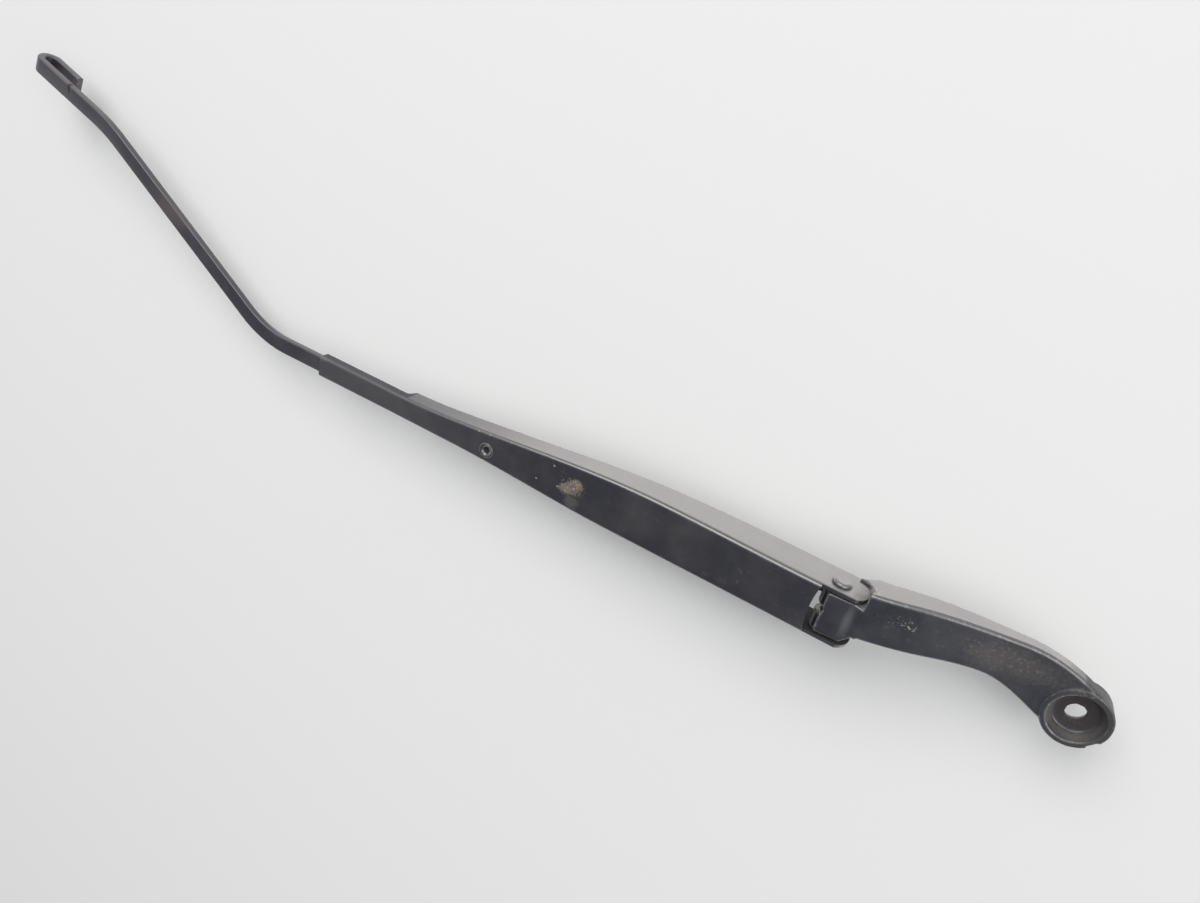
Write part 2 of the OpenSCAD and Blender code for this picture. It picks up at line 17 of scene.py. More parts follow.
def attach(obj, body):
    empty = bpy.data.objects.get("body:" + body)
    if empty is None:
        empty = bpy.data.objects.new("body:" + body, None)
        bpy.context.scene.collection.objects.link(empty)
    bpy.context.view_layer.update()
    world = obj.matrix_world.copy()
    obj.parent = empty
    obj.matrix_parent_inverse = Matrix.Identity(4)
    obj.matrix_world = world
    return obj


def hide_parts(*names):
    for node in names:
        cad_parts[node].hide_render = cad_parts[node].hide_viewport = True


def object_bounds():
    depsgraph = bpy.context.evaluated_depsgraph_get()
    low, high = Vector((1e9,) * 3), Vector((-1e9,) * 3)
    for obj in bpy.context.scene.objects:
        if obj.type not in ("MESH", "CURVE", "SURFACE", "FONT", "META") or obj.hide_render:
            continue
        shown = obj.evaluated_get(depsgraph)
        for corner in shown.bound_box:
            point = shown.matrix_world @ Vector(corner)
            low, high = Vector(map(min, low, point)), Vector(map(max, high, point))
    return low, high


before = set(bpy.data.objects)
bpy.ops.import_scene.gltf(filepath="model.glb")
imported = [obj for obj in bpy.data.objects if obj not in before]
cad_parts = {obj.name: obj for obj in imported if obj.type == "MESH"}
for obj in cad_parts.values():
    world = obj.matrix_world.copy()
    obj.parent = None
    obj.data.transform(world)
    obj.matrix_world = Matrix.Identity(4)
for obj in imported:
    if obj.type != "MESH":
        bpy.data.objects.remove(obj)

cad_box = [[float(c) for c in corner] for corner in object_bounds()]
print("CAD box in metres:", cad_box)

# %% [markdown]
# ## Two frames of reference
# The part's frame has its origin on the spindle's axis at the nut seat, and its unit is the metre.
# What lies beyond the hinge is easier to describe in millimetres from the hinge pin, in a frame that
# hangs down by the arm's droop at rest. Parent empties could carry the pieces there, but a finished
# piece sits at the origin with its place in its mesh. So one matrix turns, moves and scales points.

# %% Matrices and easing
MM = 0.001
HINGE = Vector((106.8, 0.0, 4.4))
DROOP = math.radians(5)
HEAD = Matrix.Scale(MM, 4)
ARM = HEAD @ Matrix.Translation(HINGE) @ Matrix.Rotation(DROOP, 4, "Y")
ARM_INVERSE = ARM.inverted()


def ease(t):
    """A smooth step from 0 to 1 that starts and ends flat."""
    t = min(1.0, max(0.0, t))
    return t * t * (3 - 2 * t)


def mix(a, b, t):
    """The value at share t of the way from a to b."""
    return a + (b - a) * t


def on_head(x, y, z):
    """A place on the head, from millimetres in the part's frame."""
    return tuple(HEAD @ Vector((x, y, z)))


def on_arm(x, y, z):
    """A place on the arm, from millimetres in the hinge's frame."""
    return tuple(ARM @ Vector((x, y, z)))


print("hinge pin at", tuple(round(c, 4) for c in on_arm(0, 0, 0)))

# %% [markdown]
# ## Camera
# The photograph was taken from above and from the hinge end, with a wide lens close to the arm. A
# Track To constraint could aim the camera, but here its axes and its place are known, and a matrix
# made of them repeats the view. The Standard view transform shows colours as they are written.

# %% Camera at the photograph's place
SENSOR_WIDTH = 36
FOCAL_LENGTH = 27.03
CAMERA_PLACE = (0.127366, -0.219808, 0.358630)
CAMERA_RIGHT = Vector((-0.888717, -0.243920, -0.388182))
CAMERA_UP = Vector((0.388395, -0.850443, -0.354817))
CAMERA_BACK = Vector((-0.243580, -0.466100, 0.850541))


def in_scene(name, data):
    """A new object for the data, linked to the scene."""
    made = bpy.data.objects.new(name, data)
    bpy.context.scene.collection.objects.link(made)
    return made


camera_data = bpy.data.cameras.new("photo_camera")
camera_data.sensor_width = SENSOR_WIDTH
camera_data.lens = FOCAL_LENGTH
camera = in_scene("photo_camera", camera_data)
camera_turn = Matrix((CAMERA_RIGHT, CAMERA_UP, CAMERA_BACK)).transposed().to_4x4()
camera.matrix_world = Matrix.Translation(CAMERA_PLACE) @ camera_turn
bpy.context.scene.camera = camera
bpy.context.scene.view_settings.view_transform = "Standard"
print("camera at", tuple(round(c, 3) for c in camera.matrix_world.translation))

# %% [markdown]
# ## Node helpers
# Materials, the world and Geometry Nodes are all node trees. One helper adds a node, sets its
# properties and fills its inputs, each with a value or with a link from another node's socket. Three
# shorter ones make what comes back most: a sum or product, a change of range, and an empty material.

# %% Add a node and fill its inputs


def add(tree, kind, inputs=None, **props):
    made = tree.nodes.new(kind)
    for key, value in props.items():
        setattr(made, key, value)
    for key, value in (inputs or {}).items():
        if isinstance(value, bpy.types.NodeSocket):
            tree.links.new(value, made.inputs[key])
        else:
            made.inputs[key].default_value = value
    return made


def maths(tree, operation, *values):
    """The result of one Math node on up to three numbers or sockets."""
    return add(tree, "ShaderNodeMath", dict(enumerate(values)), operation=operation).outputs[0]


def ramp(tree, value, start=0.0, end=1.0, low=0.0, high=1.0):
    """The value changed so that start to end becomes low to high, and held at both ends."""
    inputs = {"Value": value, "From Min": start, "From Max": end, "To Min": low, "To Max": high}
    return add(tree, "ShaderNodeMapRange", inputs).outputs["Result"]


def empty_material(name):
    material = bpy.data.materials.new(name)
    material.use_nodes = True
    material.node_tree.nodes.clear()
    return material, material.node_tree


print("node helpers ready")

# %% [markdown]
# ## Table
# The arm lies on a pale table, rolled a little onto its lower edge, so the table is tilted instead.
# It is set 18 millimetres under the arm's lowest points, so that light comes in below the arm and the
# shadow stays pale. A slab would do, but a single large face can be made clear from below: Backfacing
# swaps its shader for a transparent one. A diffuse shader shows no reflection of the lamps.

# %% Table
TABLE_NORMAL = Vector((0.0340, -0.2021, 0.9788)).normalized()
ARM_RESTS_AT = Vector((0.1506, 0.0134, -0.0111))
TABLE_DROP = 0.018
TABLE_HALF = 2.5
TABLE_COLOUR = (0.80, 0.80, 0.785, 1)


def table_material():
    material, tree = empty_material("pale_table")
    top = add(tree, "ShaderNodeBsdfDiffuse", {"Color": TABLE_COLOUR}).outputs[0]
    clear = add(tree, "ShaderNodeBsdfTransparent").outputs[0]
    below = add(tree, "ShaderNodeNewGeometry").outputs["Backfacing"]
    both = add(tree, "ShaderNodeMixShader", {0: below, 1: top, 2: clear})
    add(tree, "ShaderNodeOutputMaterial", {"Surface": both.outputs[0]})
    return material


table_middle = ARM_RESTS_AT - TABLE_DROP * TABLE_NORMAL
table_turn = TABLE_NORMAL.to_track_quat("Z", "Y").to_matrix()
corners = [table_middle + table_turn @ Vector((x * TABLE_HALF, y * TABLE_HALF, 0))
    for x, y in ((-1, -1), (1, -1), (1, 1), (-1, 1))]
table_mesh = bpy.data.meshes.new("table")
table_mesh.from_pydata([tuple(c) for c in corners], [], [(0, 1, 2, 3)])
table_mesh.materials.append(table_material())
table = in_scene("table", table_mesh)
print("table faces", tuple(round(c, 3) for c in table_mesh.polygons[0].normal))

# %% [markdown]
# ## Room light
# The room is bright towards its windows and dim towards its inside, above and beyond the arm. The flat
# top of the paint mirrors the dim part and stays dark, while the side walls mirror the table. A
# panorama picture could light it, but a few nodes need no file: a dot product says how far inwards a
# ray looks, and each colour channel falls with it. Light Path gives the camera a plain backdrop.

# %% Room light
ROOM_INSIDE = Vector((0.20, 0.52, 0.83)).normalized()
ROOM_BRIGHT = 0.80
ROOM_DIM = {"Red": 0.13, "Green": 0.14, "Blue": 0.17}
DIM_FROM, DIM_TO = 0.15, 0.93
BACKDROP = (0.87, 0.87, 0.86, 1)


def room_light(tree):
    tree.nodes.clear()
    way = add(tree, "ShaderNodeTexCoord").outputs["Generated"]
    inward = add(tree, "ShaderNodeVectorMath", {0: way, 1: ROOM_INSIDE}, operation="DOT_PRODUCT")
    room = add(tree, "ShaderNodeCombineColor")
    for channel, dim in ROOM_DIM.items():
        level = ramp(tree, inward.outputs["Value"], DIM_FROM, DIM_TO, ROOM_BRIGHT, dim)
        tree.links.new(level, room.inputs[channel])
    lit = add(tree, "ShaderNodeBackground", {"Color": room.outputs["Color"], "Strength": 1.0})
    plain = add(tree, "ShaderNodeBackground", {"Color": BACKDROP, "Strength": 1.0})
    seen = add(tree, "ShaderNodeLightPath").outputs["Is Camera Ray"]
    choice = add(tree, "ShaderNodeMixShader", {0: seen, 1: lit.outputs[0], 2: plain.outputs[0]})
    add(tree, "ShaderNodeOutputWorld", {"Surface": choice.outputs[0]})


world = bpy.data.worlds.new("room")
bpy.context.scene.world = world
world.use_nodes = True
room_light(world.node_tree)
print("room light with", len(world.node_tree.nodes), "nodes")

# %% [markdown]
# ## Lamps
# Two windows light the arm: a stronger one on the camera's side, and a weaker one past the head. A
# small or distant lamp would draw hard shadows, so each is an area lamp as wide as a real window and
# only a few metres away. Both look at the middle of the arm.

# %% Lamps
LAMP_AIM = Vector((0.24, -0.02, 0.0))
LAMP_SIZE = 1.7


def lamp(name, direction, distance, power):
    """A soft square lamp that stands off from the arm in a direction. Metres and watts."""
    data = bpy.data.lights.new(name, "AREA")
    data.size = LAMP_SIZE
    data.energy = power
    made = in_scene(name, data)
    direction = Vector(direction).normalized()
    turn = direction.to_track_quat("Z", "Y").to_matrix().to_4x4()
    made.matrix_world = Matrix.Translation(LAMP_AIM + direction * distance) @ turn


lamp("window", (0.25, -0.78, 0.58), 2.4, 32)
lamp("second_window", (-0.62, -0.30, 0.72), 2.6, 20)
print("two lamps of", LAMP_SIZE, "metres")

# %% [markdown]
# ## Shared effects of wear
# Two effects come back on every painted piece: patches, which are dust when large and chips or specks
# when small, and a single spot at a known place, such as rust where the paint has lifted. Copied
# nodes would do, but a node group is built once and placed with its own values. Each group works from
# the piece's own coordinates and gives one mask, so the pattern stays on the piece when it moves.

# %% Node groups for wear


def mask_group(name, **inputs):
    """A node group with the named inputs and one output, Mask, and the nodes at its two ends."""
    made = bpy.data.node_groups.new(name, "ShaderNodeTree")
    for label, kind in inputs.items():
        made.interface.new_socket(label, in_out="INPUT", socket_type="NodeSocket" + kind)
    made.interface.new_socket("Mask", in_out="OUTPUT", socket_type="NodeSocketFloat")
    return made, made.nodes.new("NodeGroupInput").outputs, made.nodes.new("NodeGroupOutput")


def patches_group():
    """Cloudy patches: noise above Start begins to show and is full at End."""
    tree, given, out = mask_group("patches", Scale="Float", Start="Float", End="Float", Shift="Vector")
    here = add(tree, "ShaderNodeTexCoord").outputs["Object"]
    moved = add(tree, "ShaderNodeVectorMath", {0: here, 1: given["Shift"]}, operation="ADD").outputs[0]
    noise = add(tree, "ShaderNodeTexNoise",
        {"Vector": moved, "Scale": given["Scale"], "Detail": 6.0, "Roughness": 0.62}).outputs[0]
    tree.links.new(ramp(tree, noise, given["Start"], given["End"]), out.inputs["Mask"])
    return tree


def spot_group():
    """One spot: an ellipsoid whose rim is Soft wide and made uneven by noise times Ragged."""
    tree, given, out = mask_group("spot", Centre="Vector", Size="Vector", Ragged="Float", Soft="Float")
    here = add(tree, "ShaderNodeTexCoord").outputs["Object"]
    away = add(tree, "ShaderNodeVectorMath", {0: here, 1: given["Centre"]}, operation="SUBTRACT").outputs[0]
    share = add(tree, "ShaderNodeVectorMath", {0: away, 1: given["Size"]}, operation="DIVIDE").outputs[0]
    far = add(tree, "ShaderNodeVectorMath", {0: share}, operation="LENGTH").outputs["Value"]
    noise = add(tree, "ShaderNodeTexNoise",
        {"Vector": here, "Scale": 620.0, "Detail": 5.0, "Roughness": 0.65}).outputs[0]
    uneven = maths(tree, "MULTIPLY_ADD", maths(tree, "SUBTRACT", noise, 0.5), given["Ragged"], far)
    rim = maths(tree, "SUBTRACT", 1.0, given["Soft"])
    tree.links.new(ramp(tree, uneven, rim, 1.0, 1.0, 0.0), out.inputs["Mask"])
    return tree


def place_group(tree, kind, **values):
    """A group placed in a tree with its own values; its mask comes back."""
    made = add(tree, "ShaderNodeGroup", node_tree=kind)
    for key, value in values.items():
        made.inputs[key].default_value = value
    return made.outputs["Mask"]


PATCHES = patches_group()
SPOT = spot_group()
print("groups:", PATCHES.name, SPOT.name)

# %% [markdown]
# ## Layers of dirt and painted sheen
# Dirt builds up in layers on the real arm, so the colour is built the same way: each layer is mixed
# over the last with a mask. The first layer is a painted sheen: light grey on the walls, which are seen
# at a slant, standing in for their reflection of the bright table. Over it lie cloudy dust, fine specks,
# pale chips, and a pale line on the outer edges, partly paint rubbed thin by hands and brushes and partly
# a painted highlight. Layer Weight finds the slant, and the piece's own vertex attributes say the rest:
# edge is 1 on sharp outside corners, and open_air is 1 outside, less where the sheen is thin, and 0
# inside the channel, where painted shade lies.

# %% Colour under painted sheen, dust, chips and rubbed or highlighted edges
# The first colour is a painted sheen for walls seen at a slant. The pale edge colour is partly wear and
# partly a painted highlight.
WALL_SHEEN = (0.44, 0.42, 0.41, 1)
DUST = (0.20, 0.185, 0.165, 1)
SPECKS = (0.26, 0.25, 0.24, 1)
CHIPS = (0.52, 0.50, 0.47, 1)
EDGE_WEAR_AND_HIGHLIGHT = (0.36, 0.35, 0.35, 1)
PRIMER = (0.34, 0.33, 0.32, 1)


def layered(tree, under, over, mask):
    """The colour under, with the colour over laid on where mask is 1."""
    return add(tree, "ShaderNodeMix", {0: mask, 6: under, 7: over}, data_type="RGBA").outputs[2]


def attribute(tree, name):
    return add(tree, "ShaderNodeAttribute", attribute_name=name).outputs["Fac"]


def dirt_and_sheen(tree, colour, open_air, dust, dust_share, shift, sheen, line):
    """sheen is the strength of the painted sheen, and line that of the pale edge line, partly wear and
    partly painted highlight.
    """
    slant = add(tree, "ShaderNodeLayerWeight", {"Blend": 0.5}).outputs["Facing"]
    # Light grey on the walls seen at a slant is a painted sheen, for their reflection of the bright table.
    slant_sheen = maths(tree, "MULTIPLY", ramp(tree, slant, 0.42, 0.50), open_air)
    specks = place_group(tree, PATCHES, Scale=300.0, Start=0.60, End=0.72, Shift=shift)
    chips = place_group(tree, PATCHES, Scale=900.0, Start=0.735, End=0.755, Shift=shift)
    rubbed = place_group(tree, PATCHES, Scale=520.0, Start=0.56, End=0.63, Shift=shift)
    # The pale line on the crests is partly paint rubbed thin and partly a painted highlight.
    crest = ramp(tree, attribute(tree, "edge"), 0.35, 0.80)
    bare_crest = maths(tree, "MULTIPLY", crest, rubbed)
    layers = ((WALL_SHEEN, slant_sheen, sheen), (DUST, dust, dust_share), (SPECKS, specks, dust_share * 0.8),
        (CHIPS, chips, 0.7), (EDGE_WEAR_AND_HIGHLIGHT, crest, line), (PRIMER, bare_crest, 0.7))
    for tint, mask, share in layers:
        colour = layered(tree, colour, tint, maths(tree, "MULTIPLY", mask, share))
    return colour


print("six layers of dirt and wear")

# %% [markdown]
# ## Spots at known places
# Some marks can't be left to noise, because the photograph shows where they are: the rust patch, the
# grime round the pin, the brown dust on the neck. Each is a spot of known centre, size and colour. A
# painted picture could hold them, but spots in the piece's coordinates need no unwrapping.

# %% Spots over a colour


def spot(place, size, tint, ragged, soft, share, speckle=0.0):
    """A spot with its half sizes in millimetres. speckle breaks it into grains; 0 leaves it whole."""
    sockets = {"Centre": place, "Size": [c * MM for c in size], "Ragged": ragged, "Soft": soft}
    return sockets, tint, share, speckle


def spotted(tree, colour, dull, spots, shift):
    """Lays the spots over the colour, and adds them to the mask of where the paint is dull."""
    for sockets, tint, share, speckle in spots:
        mark = place_group(tree, SPOT, **sockets)
        if speckle:
            grains = place_group(tree, PATCHES, Scale=speckle, Start=0.56, End=0.62, Shift=shift)
            mark = maths(tree, "MULTIPLY", mark, grains)
        mark = maths(tree, "MULTIPLY", mark, share)
        colour = layered(tree, colour, tint, mark)
        dull = maths(tree, "MAXIMUM", dull, mark)
    return colour, dull


print("spots can be whole or speckled")

# %% [markdown]
# ## Paint
# The black paint is satin: a fairly smooth coat with a faint orange-peel bump, duller where dust, rust,
# grime and the spots of painted shade and sheen lie. One Principled shader does it, with a second,
# clear coat for the paint's own shine. The coat and the smoothness fade under every dull mark. Where
# the attribute open_air falls below 0.08, inside the channel and round the boss, the paint darkens
# towards black: this is painted shade.

# %% Paint material
# Near black, laid as painted shade inside the channel and round the boss.
DEEP_SHADE = (0.006, 0.006, 0.008, 1)
PEEL_DEPTH = 0.0004
DULLER_BY = 0.5


def paint(name, colour, roughness, dust_share, shift, spots, grain=700.0, bump=0.06, sheen=0.6, line=0.2,
          gloss=0.8):
    """grain and bump are the scale and strength of the orange peel, gloss the weight of the clear coat."""
    material, tree = empty_material(name)
    dust = place_group(tree, PATCHES, Scale=38.0, Start=0.42, End=0.72, Shift=shift)
    open_air = attribute(tree, "open_air")
    shade = dirt_and_sheen(tree, colour, open_air, dust, dust_share, shift, sheen, line)
    # Where the light share attribute is low, the paint is darkened towards black as painted shade.
    dull = ramp(tree, open_air, 0.0, 0.08, 0.9, 0.0)
    shade, dull = spotted(tree, layered(tree, shade, DEEP_SHADE, dull), dull, spots, shift)
    here = add(tree, "ShaderNodeTexCoord").outputs["Object"]
    peel = add(tree, "ShaderNodeTexNoise", {"Vector": here, "Scale": grain, "Detail": 3.0}).outputs[0]
    relief = add(tree, "ShaderNodeBump", {"Height": peel, "Strength": bump, "Distance": PEEL_DEPTH})
    satin = ramp(tree, dust, low=roughness, high=roughness + 0.16)
    shader = add(tree, "ShaderNodeBsdfPrincipled", {
        "Base Color": shade,
        "Roughness": maths(tree, "MULTIPLY_ADD", dull, DULLER_BY, satin),
        "Normal": relief.outputs[0],
        "IOR": 1.75,
        "Coat Weight": maths(tree, "MULTIPLY_ADD", dull, -gloss, gloss),
        "Coat Roughness": 0.24,
        "Coat IOR": 1.8,
    })
    add(tree, "ShaderNodeOutputMaterial", {"Surface": shader.outputs[0]})
    return material


print("paint roughness grows by up to", DULLER_BY, "under dull marks")

# %% [markdown]
# ## Paint on the retainer
# The pressed steel carries the rust patch: grey where the paint has only lifted, three ragged lobes
# of brown under pale grains, and a dark line at its edge. A painted sheen lightens the top towards the
# far end, where it is seen at a slant, painted shade rings the pin's head, and tiny pale chips and one
# dark dot are scattered along the top.

# %% Retainer's spots and paint
TOP = 8.6
# Near black, for real grime marks and for painted shade round the pin and in the rivet's hollow.
GRIME_AND_SHADE = (0.010, 0.010, 0.012, 1)
PALE = (0.62, 0.60, 0.56, 1)


def chip(place, size=0.6):
    """A tiny pale chip."""
    return spot(place, (size, size * 0.8, size), PALE, 2.0, 0.6, 0.55)


# A painted sheen lightens the top towards the far end, seen at a slant; a ring of painted shade lies round
# the pin's head.
sheen_and_pin_shade = [
    spot(on_arm(262, 2, 8.0), (120, 30, 20), (0.060, 0.054, 0.060, 1), 0.1, 1.0, 0.75),
    spot(on_arm(0, -13.4, 0), (5.1, 1.2, 5.1), GRIME_AND_SHADE, 0.2, 0.2, 0.9),
]
rust_patch = [
    spot(on_arm(129.8, 7.0, TOP), (4.8, 6.2, 4), (0.075, 0.070, 0.068, 1), 0.7, 0.5, 0.7),
    spot(on_arm(128.9, -2.4, TOP), (4.0, 3.0, 4), (0.20, 0.15, 0.11, 1), 1.9, 0.35, 0.85),
    spot(on_arm(131.0, 0.4, TOP), (5.4, 3.4, 4), (0.15, 0.12, 0.10, 1), 1.9, 0.35, 0.85),
    spot(on_arm(134.4, 2.4, TOP), (4.8, 3.0, 4), (0.19, 0.145, 0.11, 1), 1.9, 0.35, 0.85),
    spot(on_arm(131.4, 0.2, TOP), (7.2, 5.6, 4), (0.42, 0.36, 0.28, 1), 1.9, 0.4, 0.9, 1000.0),
    spot(on_arm(127.2, 4.6, TOP), (6.0, 0.9, 4), GRIME_AND_SHADE, 0.8, 0.5, 0.85),
]
small_marks = [chip(on_arm(x, y, z), size) for x, y, z, size in (
    (142.8, -6.3, TOP, 0.8), (150.8, 4.7, TOP, 0.6), (138.9, 3.3, TOP, 0.6),
    (124.5, -13.9, 7.9, 0.8), (187.4, -4.6, TOP, 0.7), (180.8, -5.4, TOP, 0.6))]
small_marks.append(spot(on_arm(110.6, 4.7, TOP), (1.2, 1.2, 1), GRIME_AND_SHADE, 0.8, 0.4, 0.8))
paint_steel = paint("black_paint_on_steel", (0.021, 0.020, 0.024, 1), 0.32, 0.16, (0.3, 0.1, 0.7),
    sheen_and_pin_shade + rust_patch + small_marks)
print(paint_steel.name, "with", len(sheen_and_pin_shade + rust_patch + small_marks), "spots")

# %% [markdown]
# ## Paint on the head, the bar and the rivets
# The casting is a little coarser than the sheet, so its peel is larger. Brown dust lies on the neck
# and in the nut recess, with pale flecks at the shoulder and reddish specks on the recess floor. The
# recess floor is painted dark as shade, and a painted sheen lightens the ramp behind the ear. The bar's
# paint has less shine, and a dark line, a chip and a worn zone. The rivets get painted shade on the
# hinge pin head's flank and in the bar rivet's hollow end.

# %% The other paints
BAR_FACE = 7.1
dust_on_neck = [
    spot(on_head(27, -13, 9.6), (32, 11, 8), (0.092, 0.080, 0.070, 1), 0.9, 0.8, 0.85),
    spot(on_head(28, -13.5, 9.8), (28, 10, 7), (0.22, 0.170, 0.130, 1), 1.0, 0.7, 0.9, 700.0),
    spot(on_head(77, -11.6, 12.2), (9.5, 4, 3), (0.34, 0.32, 0.275, 1), 1.2, 0.6, 0.9, 760.0),
]
shoulder_flecks_and_ramp_sheen = [
    spot(on_head(92.4, -19.3, 8.5), (2.2, 1.6, 4.8), (0.60, 0.48, 0.32, 1), 1.2, 0.5, 0.9, 820.0),
    # A lighter band on the ramp behind the ear is a painted sheen, for its slope towards the tip.
    spot(on_head(99, -1, 12), (2.6, 12, 2.6), (0.13, 0.13, 0.145, 1), 0.3, 0.8, 0.7),
]
boss_dust_and_recess_shade = [
    spot(on_head(2, -12.6, 7), (11, 4.2, 5), (0.21, 0.18, 0.14, 1), 1.2, 0.6, 0.75, 860.0),
    spot(on_head(0, 0, 4.5), (17, 17, 4), (0.060, 0.054, 0.052, 1), 0.6, 0.8, 0.6),
    spot(on_head(0, 0, 2.6), (12.4, 12.4, 3.6), (0.090, 0.075, 0.064, 1), 0.3, 0.25, 0.85),
    # The floor of the nut recess is painted dark, as shade in the deep recess.
    spot(on_head(0, 0, 0), (10.4, 10.4, 2.2), (0.026, 0.019, 0.019, 1), 0.3, 0.35, 0.95),
    spot(on_head(-1.5, 5.6, 0), (5.5, 2.6, 1.6), (0.14, 0.065, 0.048, 1), 0.8, 0.5, 0.8, 900.0),
]
marks_on_bar = [
    spot(on_arm(493.5, -84.5, BAR_FACE), (1.3, 5.5, 4), (0.018, 0.013, 0.012, 1), 0.8, 0.4, 0.85),
    chip(on_arm(490.6, -87.6, BAR_FACE), 0.8),
    spot(on_arm(409, -41, BAR_FACE), (20, 12, 4), (0.11, 0.088, 0.074, 1), 0.8, 0.8, 0.55),
]
# Painted shade: a dark band on the hinge pin head's flank and a dark hollow in the bar rivet.
shade_on_rivets = [
    spot(on_arm(0, -13.9, 0), (6, 0.9, 6), GRIME_AND_SHADE, 0.1, 0.3, 0.9),
    spot(on_arm(181, 3.6, 7.6), (2.8, 2.8, 1.4), GRIME_AND_SHADE, 0.2, 0.3, 0.95),
]
paint_bar = paint("black_paint_on_bar", (0.026, 0.023, 0.032, 1), 0.40, 0.14, (1.3, 0.5, 0.2),
    marks_on_bar, sheen=0.12, gloss=0.15)
paint_cast = paint("black_paint_on_casting", (0.015, 0.016, 0.022, 1), 0.34, 0.14, (0.9, 2.1, 0.4),
    dust_on_neck + shoulder_flecks_and_ramp_sheen + boss_dust_and_recess_shade, grain=420.0, bump=0.10, line=0.14)
paint_pin = paint("black_paint_on_rivets", (0.022, 0.022, 0.025, 1), 0.32, 0.16, (2.2, 0.3, 1.4),
    shade_on_rivets)
print("paints:", paint_bar.name, paint_cast.name, paint_pin.name)

# %% [markdown]
# ## Bare metal and plastic
# Inside the channel the spring is dark oiled wire, the link and its pin are dull zinc, and the hinge
# bushes are dark plastic. A single colour would look new, so the patches group stains each of them.
# The bushes, the link and its pin are plain forms, so their solids are used as they come.

# %% Metal and plastic materials
GRAIN_DEPTH = 0.0002


def bare(name, colour, stain, metallic, roughness, scale, shift):
    """An unpainted finish with stains of the given scale, which are rougher than the rest."""
    material, tree = empty_material(name)
    mottled = place_group(tree, PATCHES, Scale=scale, Start=0.40, End=0.68, Shift=shift)
    here = add(tree, "ShaderNodeTexCoord").outputs["Object"]
    grain = add(tree, "ShaderNodeTexNoise", {"Vector": here, "Scale": 1400.0, "Detail": 2.0}).outputs[0]
    relief = add(tree, "ShaderNodeBump", {"Height": grain, "Strength": 0.05, "Distance": GRAIN_DEPTH})
    shader = add(tree, "ShaderNodeBsdfPrincipled", {
        "Base Color": layered(tree, colour, stain, mottled),
        "Roughness": ramp(tree, mottled, low=roughness, high=roughness + 0.22),
        "Normal": relief.outputs[0],
        "Metallic": metallic,
    })
    add(tree, "ShaderNodeOutputMaterial", {"Surface": shader.outputs[0]})
    return material


spring_steel = bare("oiled_spring_steel", (0.20, 0.195, 0.19, 1), (0.09, 0.065, 0.045, 1),
    0.9, 0.36, 220.0, (0.1, 0.4, 0.8))
zinc = bare("dull_zinc", (0.50, 0.50, 0.49, 1), (0.30, 0.28, 0.25, 1), 0.9, 0.38, 260.0, (0.6, 0.2, 0.5))
dark_plastic = bare("dark_plastic", (0.040, 0.036, 0.033, 1), (0.070, 0.058, 0.047, 1),
    0.0, 0.5, 200.0, (0.2, 1.1, 0.3))
for node_name, finish in (("pin_bush_left", dark_plastic), ("pin_bush_right", dark_plastic),
                          ("link_pin", zinc), ("spring_link", zinc)):
    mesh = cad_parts[node_name].data
    mesh.materials.clear()
    mesh.materials.append(finish)
    print(node_name, "is", finish.name)

# %% [markdown]
# ## Meshes from points
# Most pieces here follow a rule, so their points are worked out in code and turned into a mesh by
# from_pydata. Some have modifiers for cutting or smoothing. An applied modifier needs the evaluated
# object: new_from_object copies what the modifiers give into a plain mesh, and then they can go.

# %% Mesh helpers


def new_object(name, verts, faces):
    mesh = bpy.data.meshes.new(name)
    mesh.from_pydata([tuple(v) for v in verts], [], faces)
    mesh.update()
    return in_scene(name, mesh)


def from_work(work, name):
    """An object made of an edited mesh, which is then let go."""
    mesh = bpy.data.meshes.new(name)
    work.to_mesh(mesh)
    work.free()
    return in_scene(name, mesh)


def faced_outwards(obj):
    """The same object with all its faces turned outwards."""
    work = bmesh.new()
    work.from_mesh(obj.data)
    bmesh.ops.recalc_face_normals(work, faces=work.faces)
    work.to_mesh(obj.data)
    work.free()
    return obj


def prism(name, near, far):
    """A closed form between two outlines with the same number of points."""
    count = len(near)
    faces = [tuple(range(count)), tuple(reversed(range(count, 2 * count)))]
    faces += [(i + count, (i + 1) % count + count, (i + 1) % count, i) for i in range(count)]
    return faced_outwards(new_object(name, near + far, faces))


def frozen(obj):
    """The object with its modifiers applied, as a plain mesh. A curve becomes a mesh object."""
    depsgraph = bpy.context.evaluated_depsgraph_get()
    depsgraph.update()
    mesh = bpy.data.meshes.new_from_object(obj.evaluated_get(depsgraph))
    old = obj.data
    if obj.type == "MESH":
        obj.modifiers.clear()
        obj.data = mesh
        bpy.data.meshes.remove(old)
        return obj
    made = in_scene(obj.name + "_mesh", mesh)
    bpy.data.objects.remove(obj)
    return made


print("mesh helpers ready")

# %% [markdown]
# ## Vertex attributes for wear and painted light
# Paint wears first on outside corners. Pointiness in a shader could find them, but an export can't
# read it, so a number is stored on each vertex: along every edge of the mesh it is measured how far
# the normal turns away, and the average tells a corner from a flat. Inside corners and flats get 0.
# A second number, open_air, comes from a function of the place, where a piece gives one. It is 1 where
# the painted sheen shows in full, and near 0 where the paint is darkened as painted shade.

# %% Edge and lit share attributes


def write_attribute(mesh, name, values):
    made = mesh.attributes.get(name) or mesh.attributes.new(name, "FLOAT", "POINT")
    made.data.foreach_set("value", np.asarray(values, np.float32))


def read_vectors(items, name, width, kind=float):
    """A property of all items as an array with one row for each."""
    values = np.zeros(len(items) * width, kind)
    items.foreach_get(name, values)
    return values.reshape(-1, width)


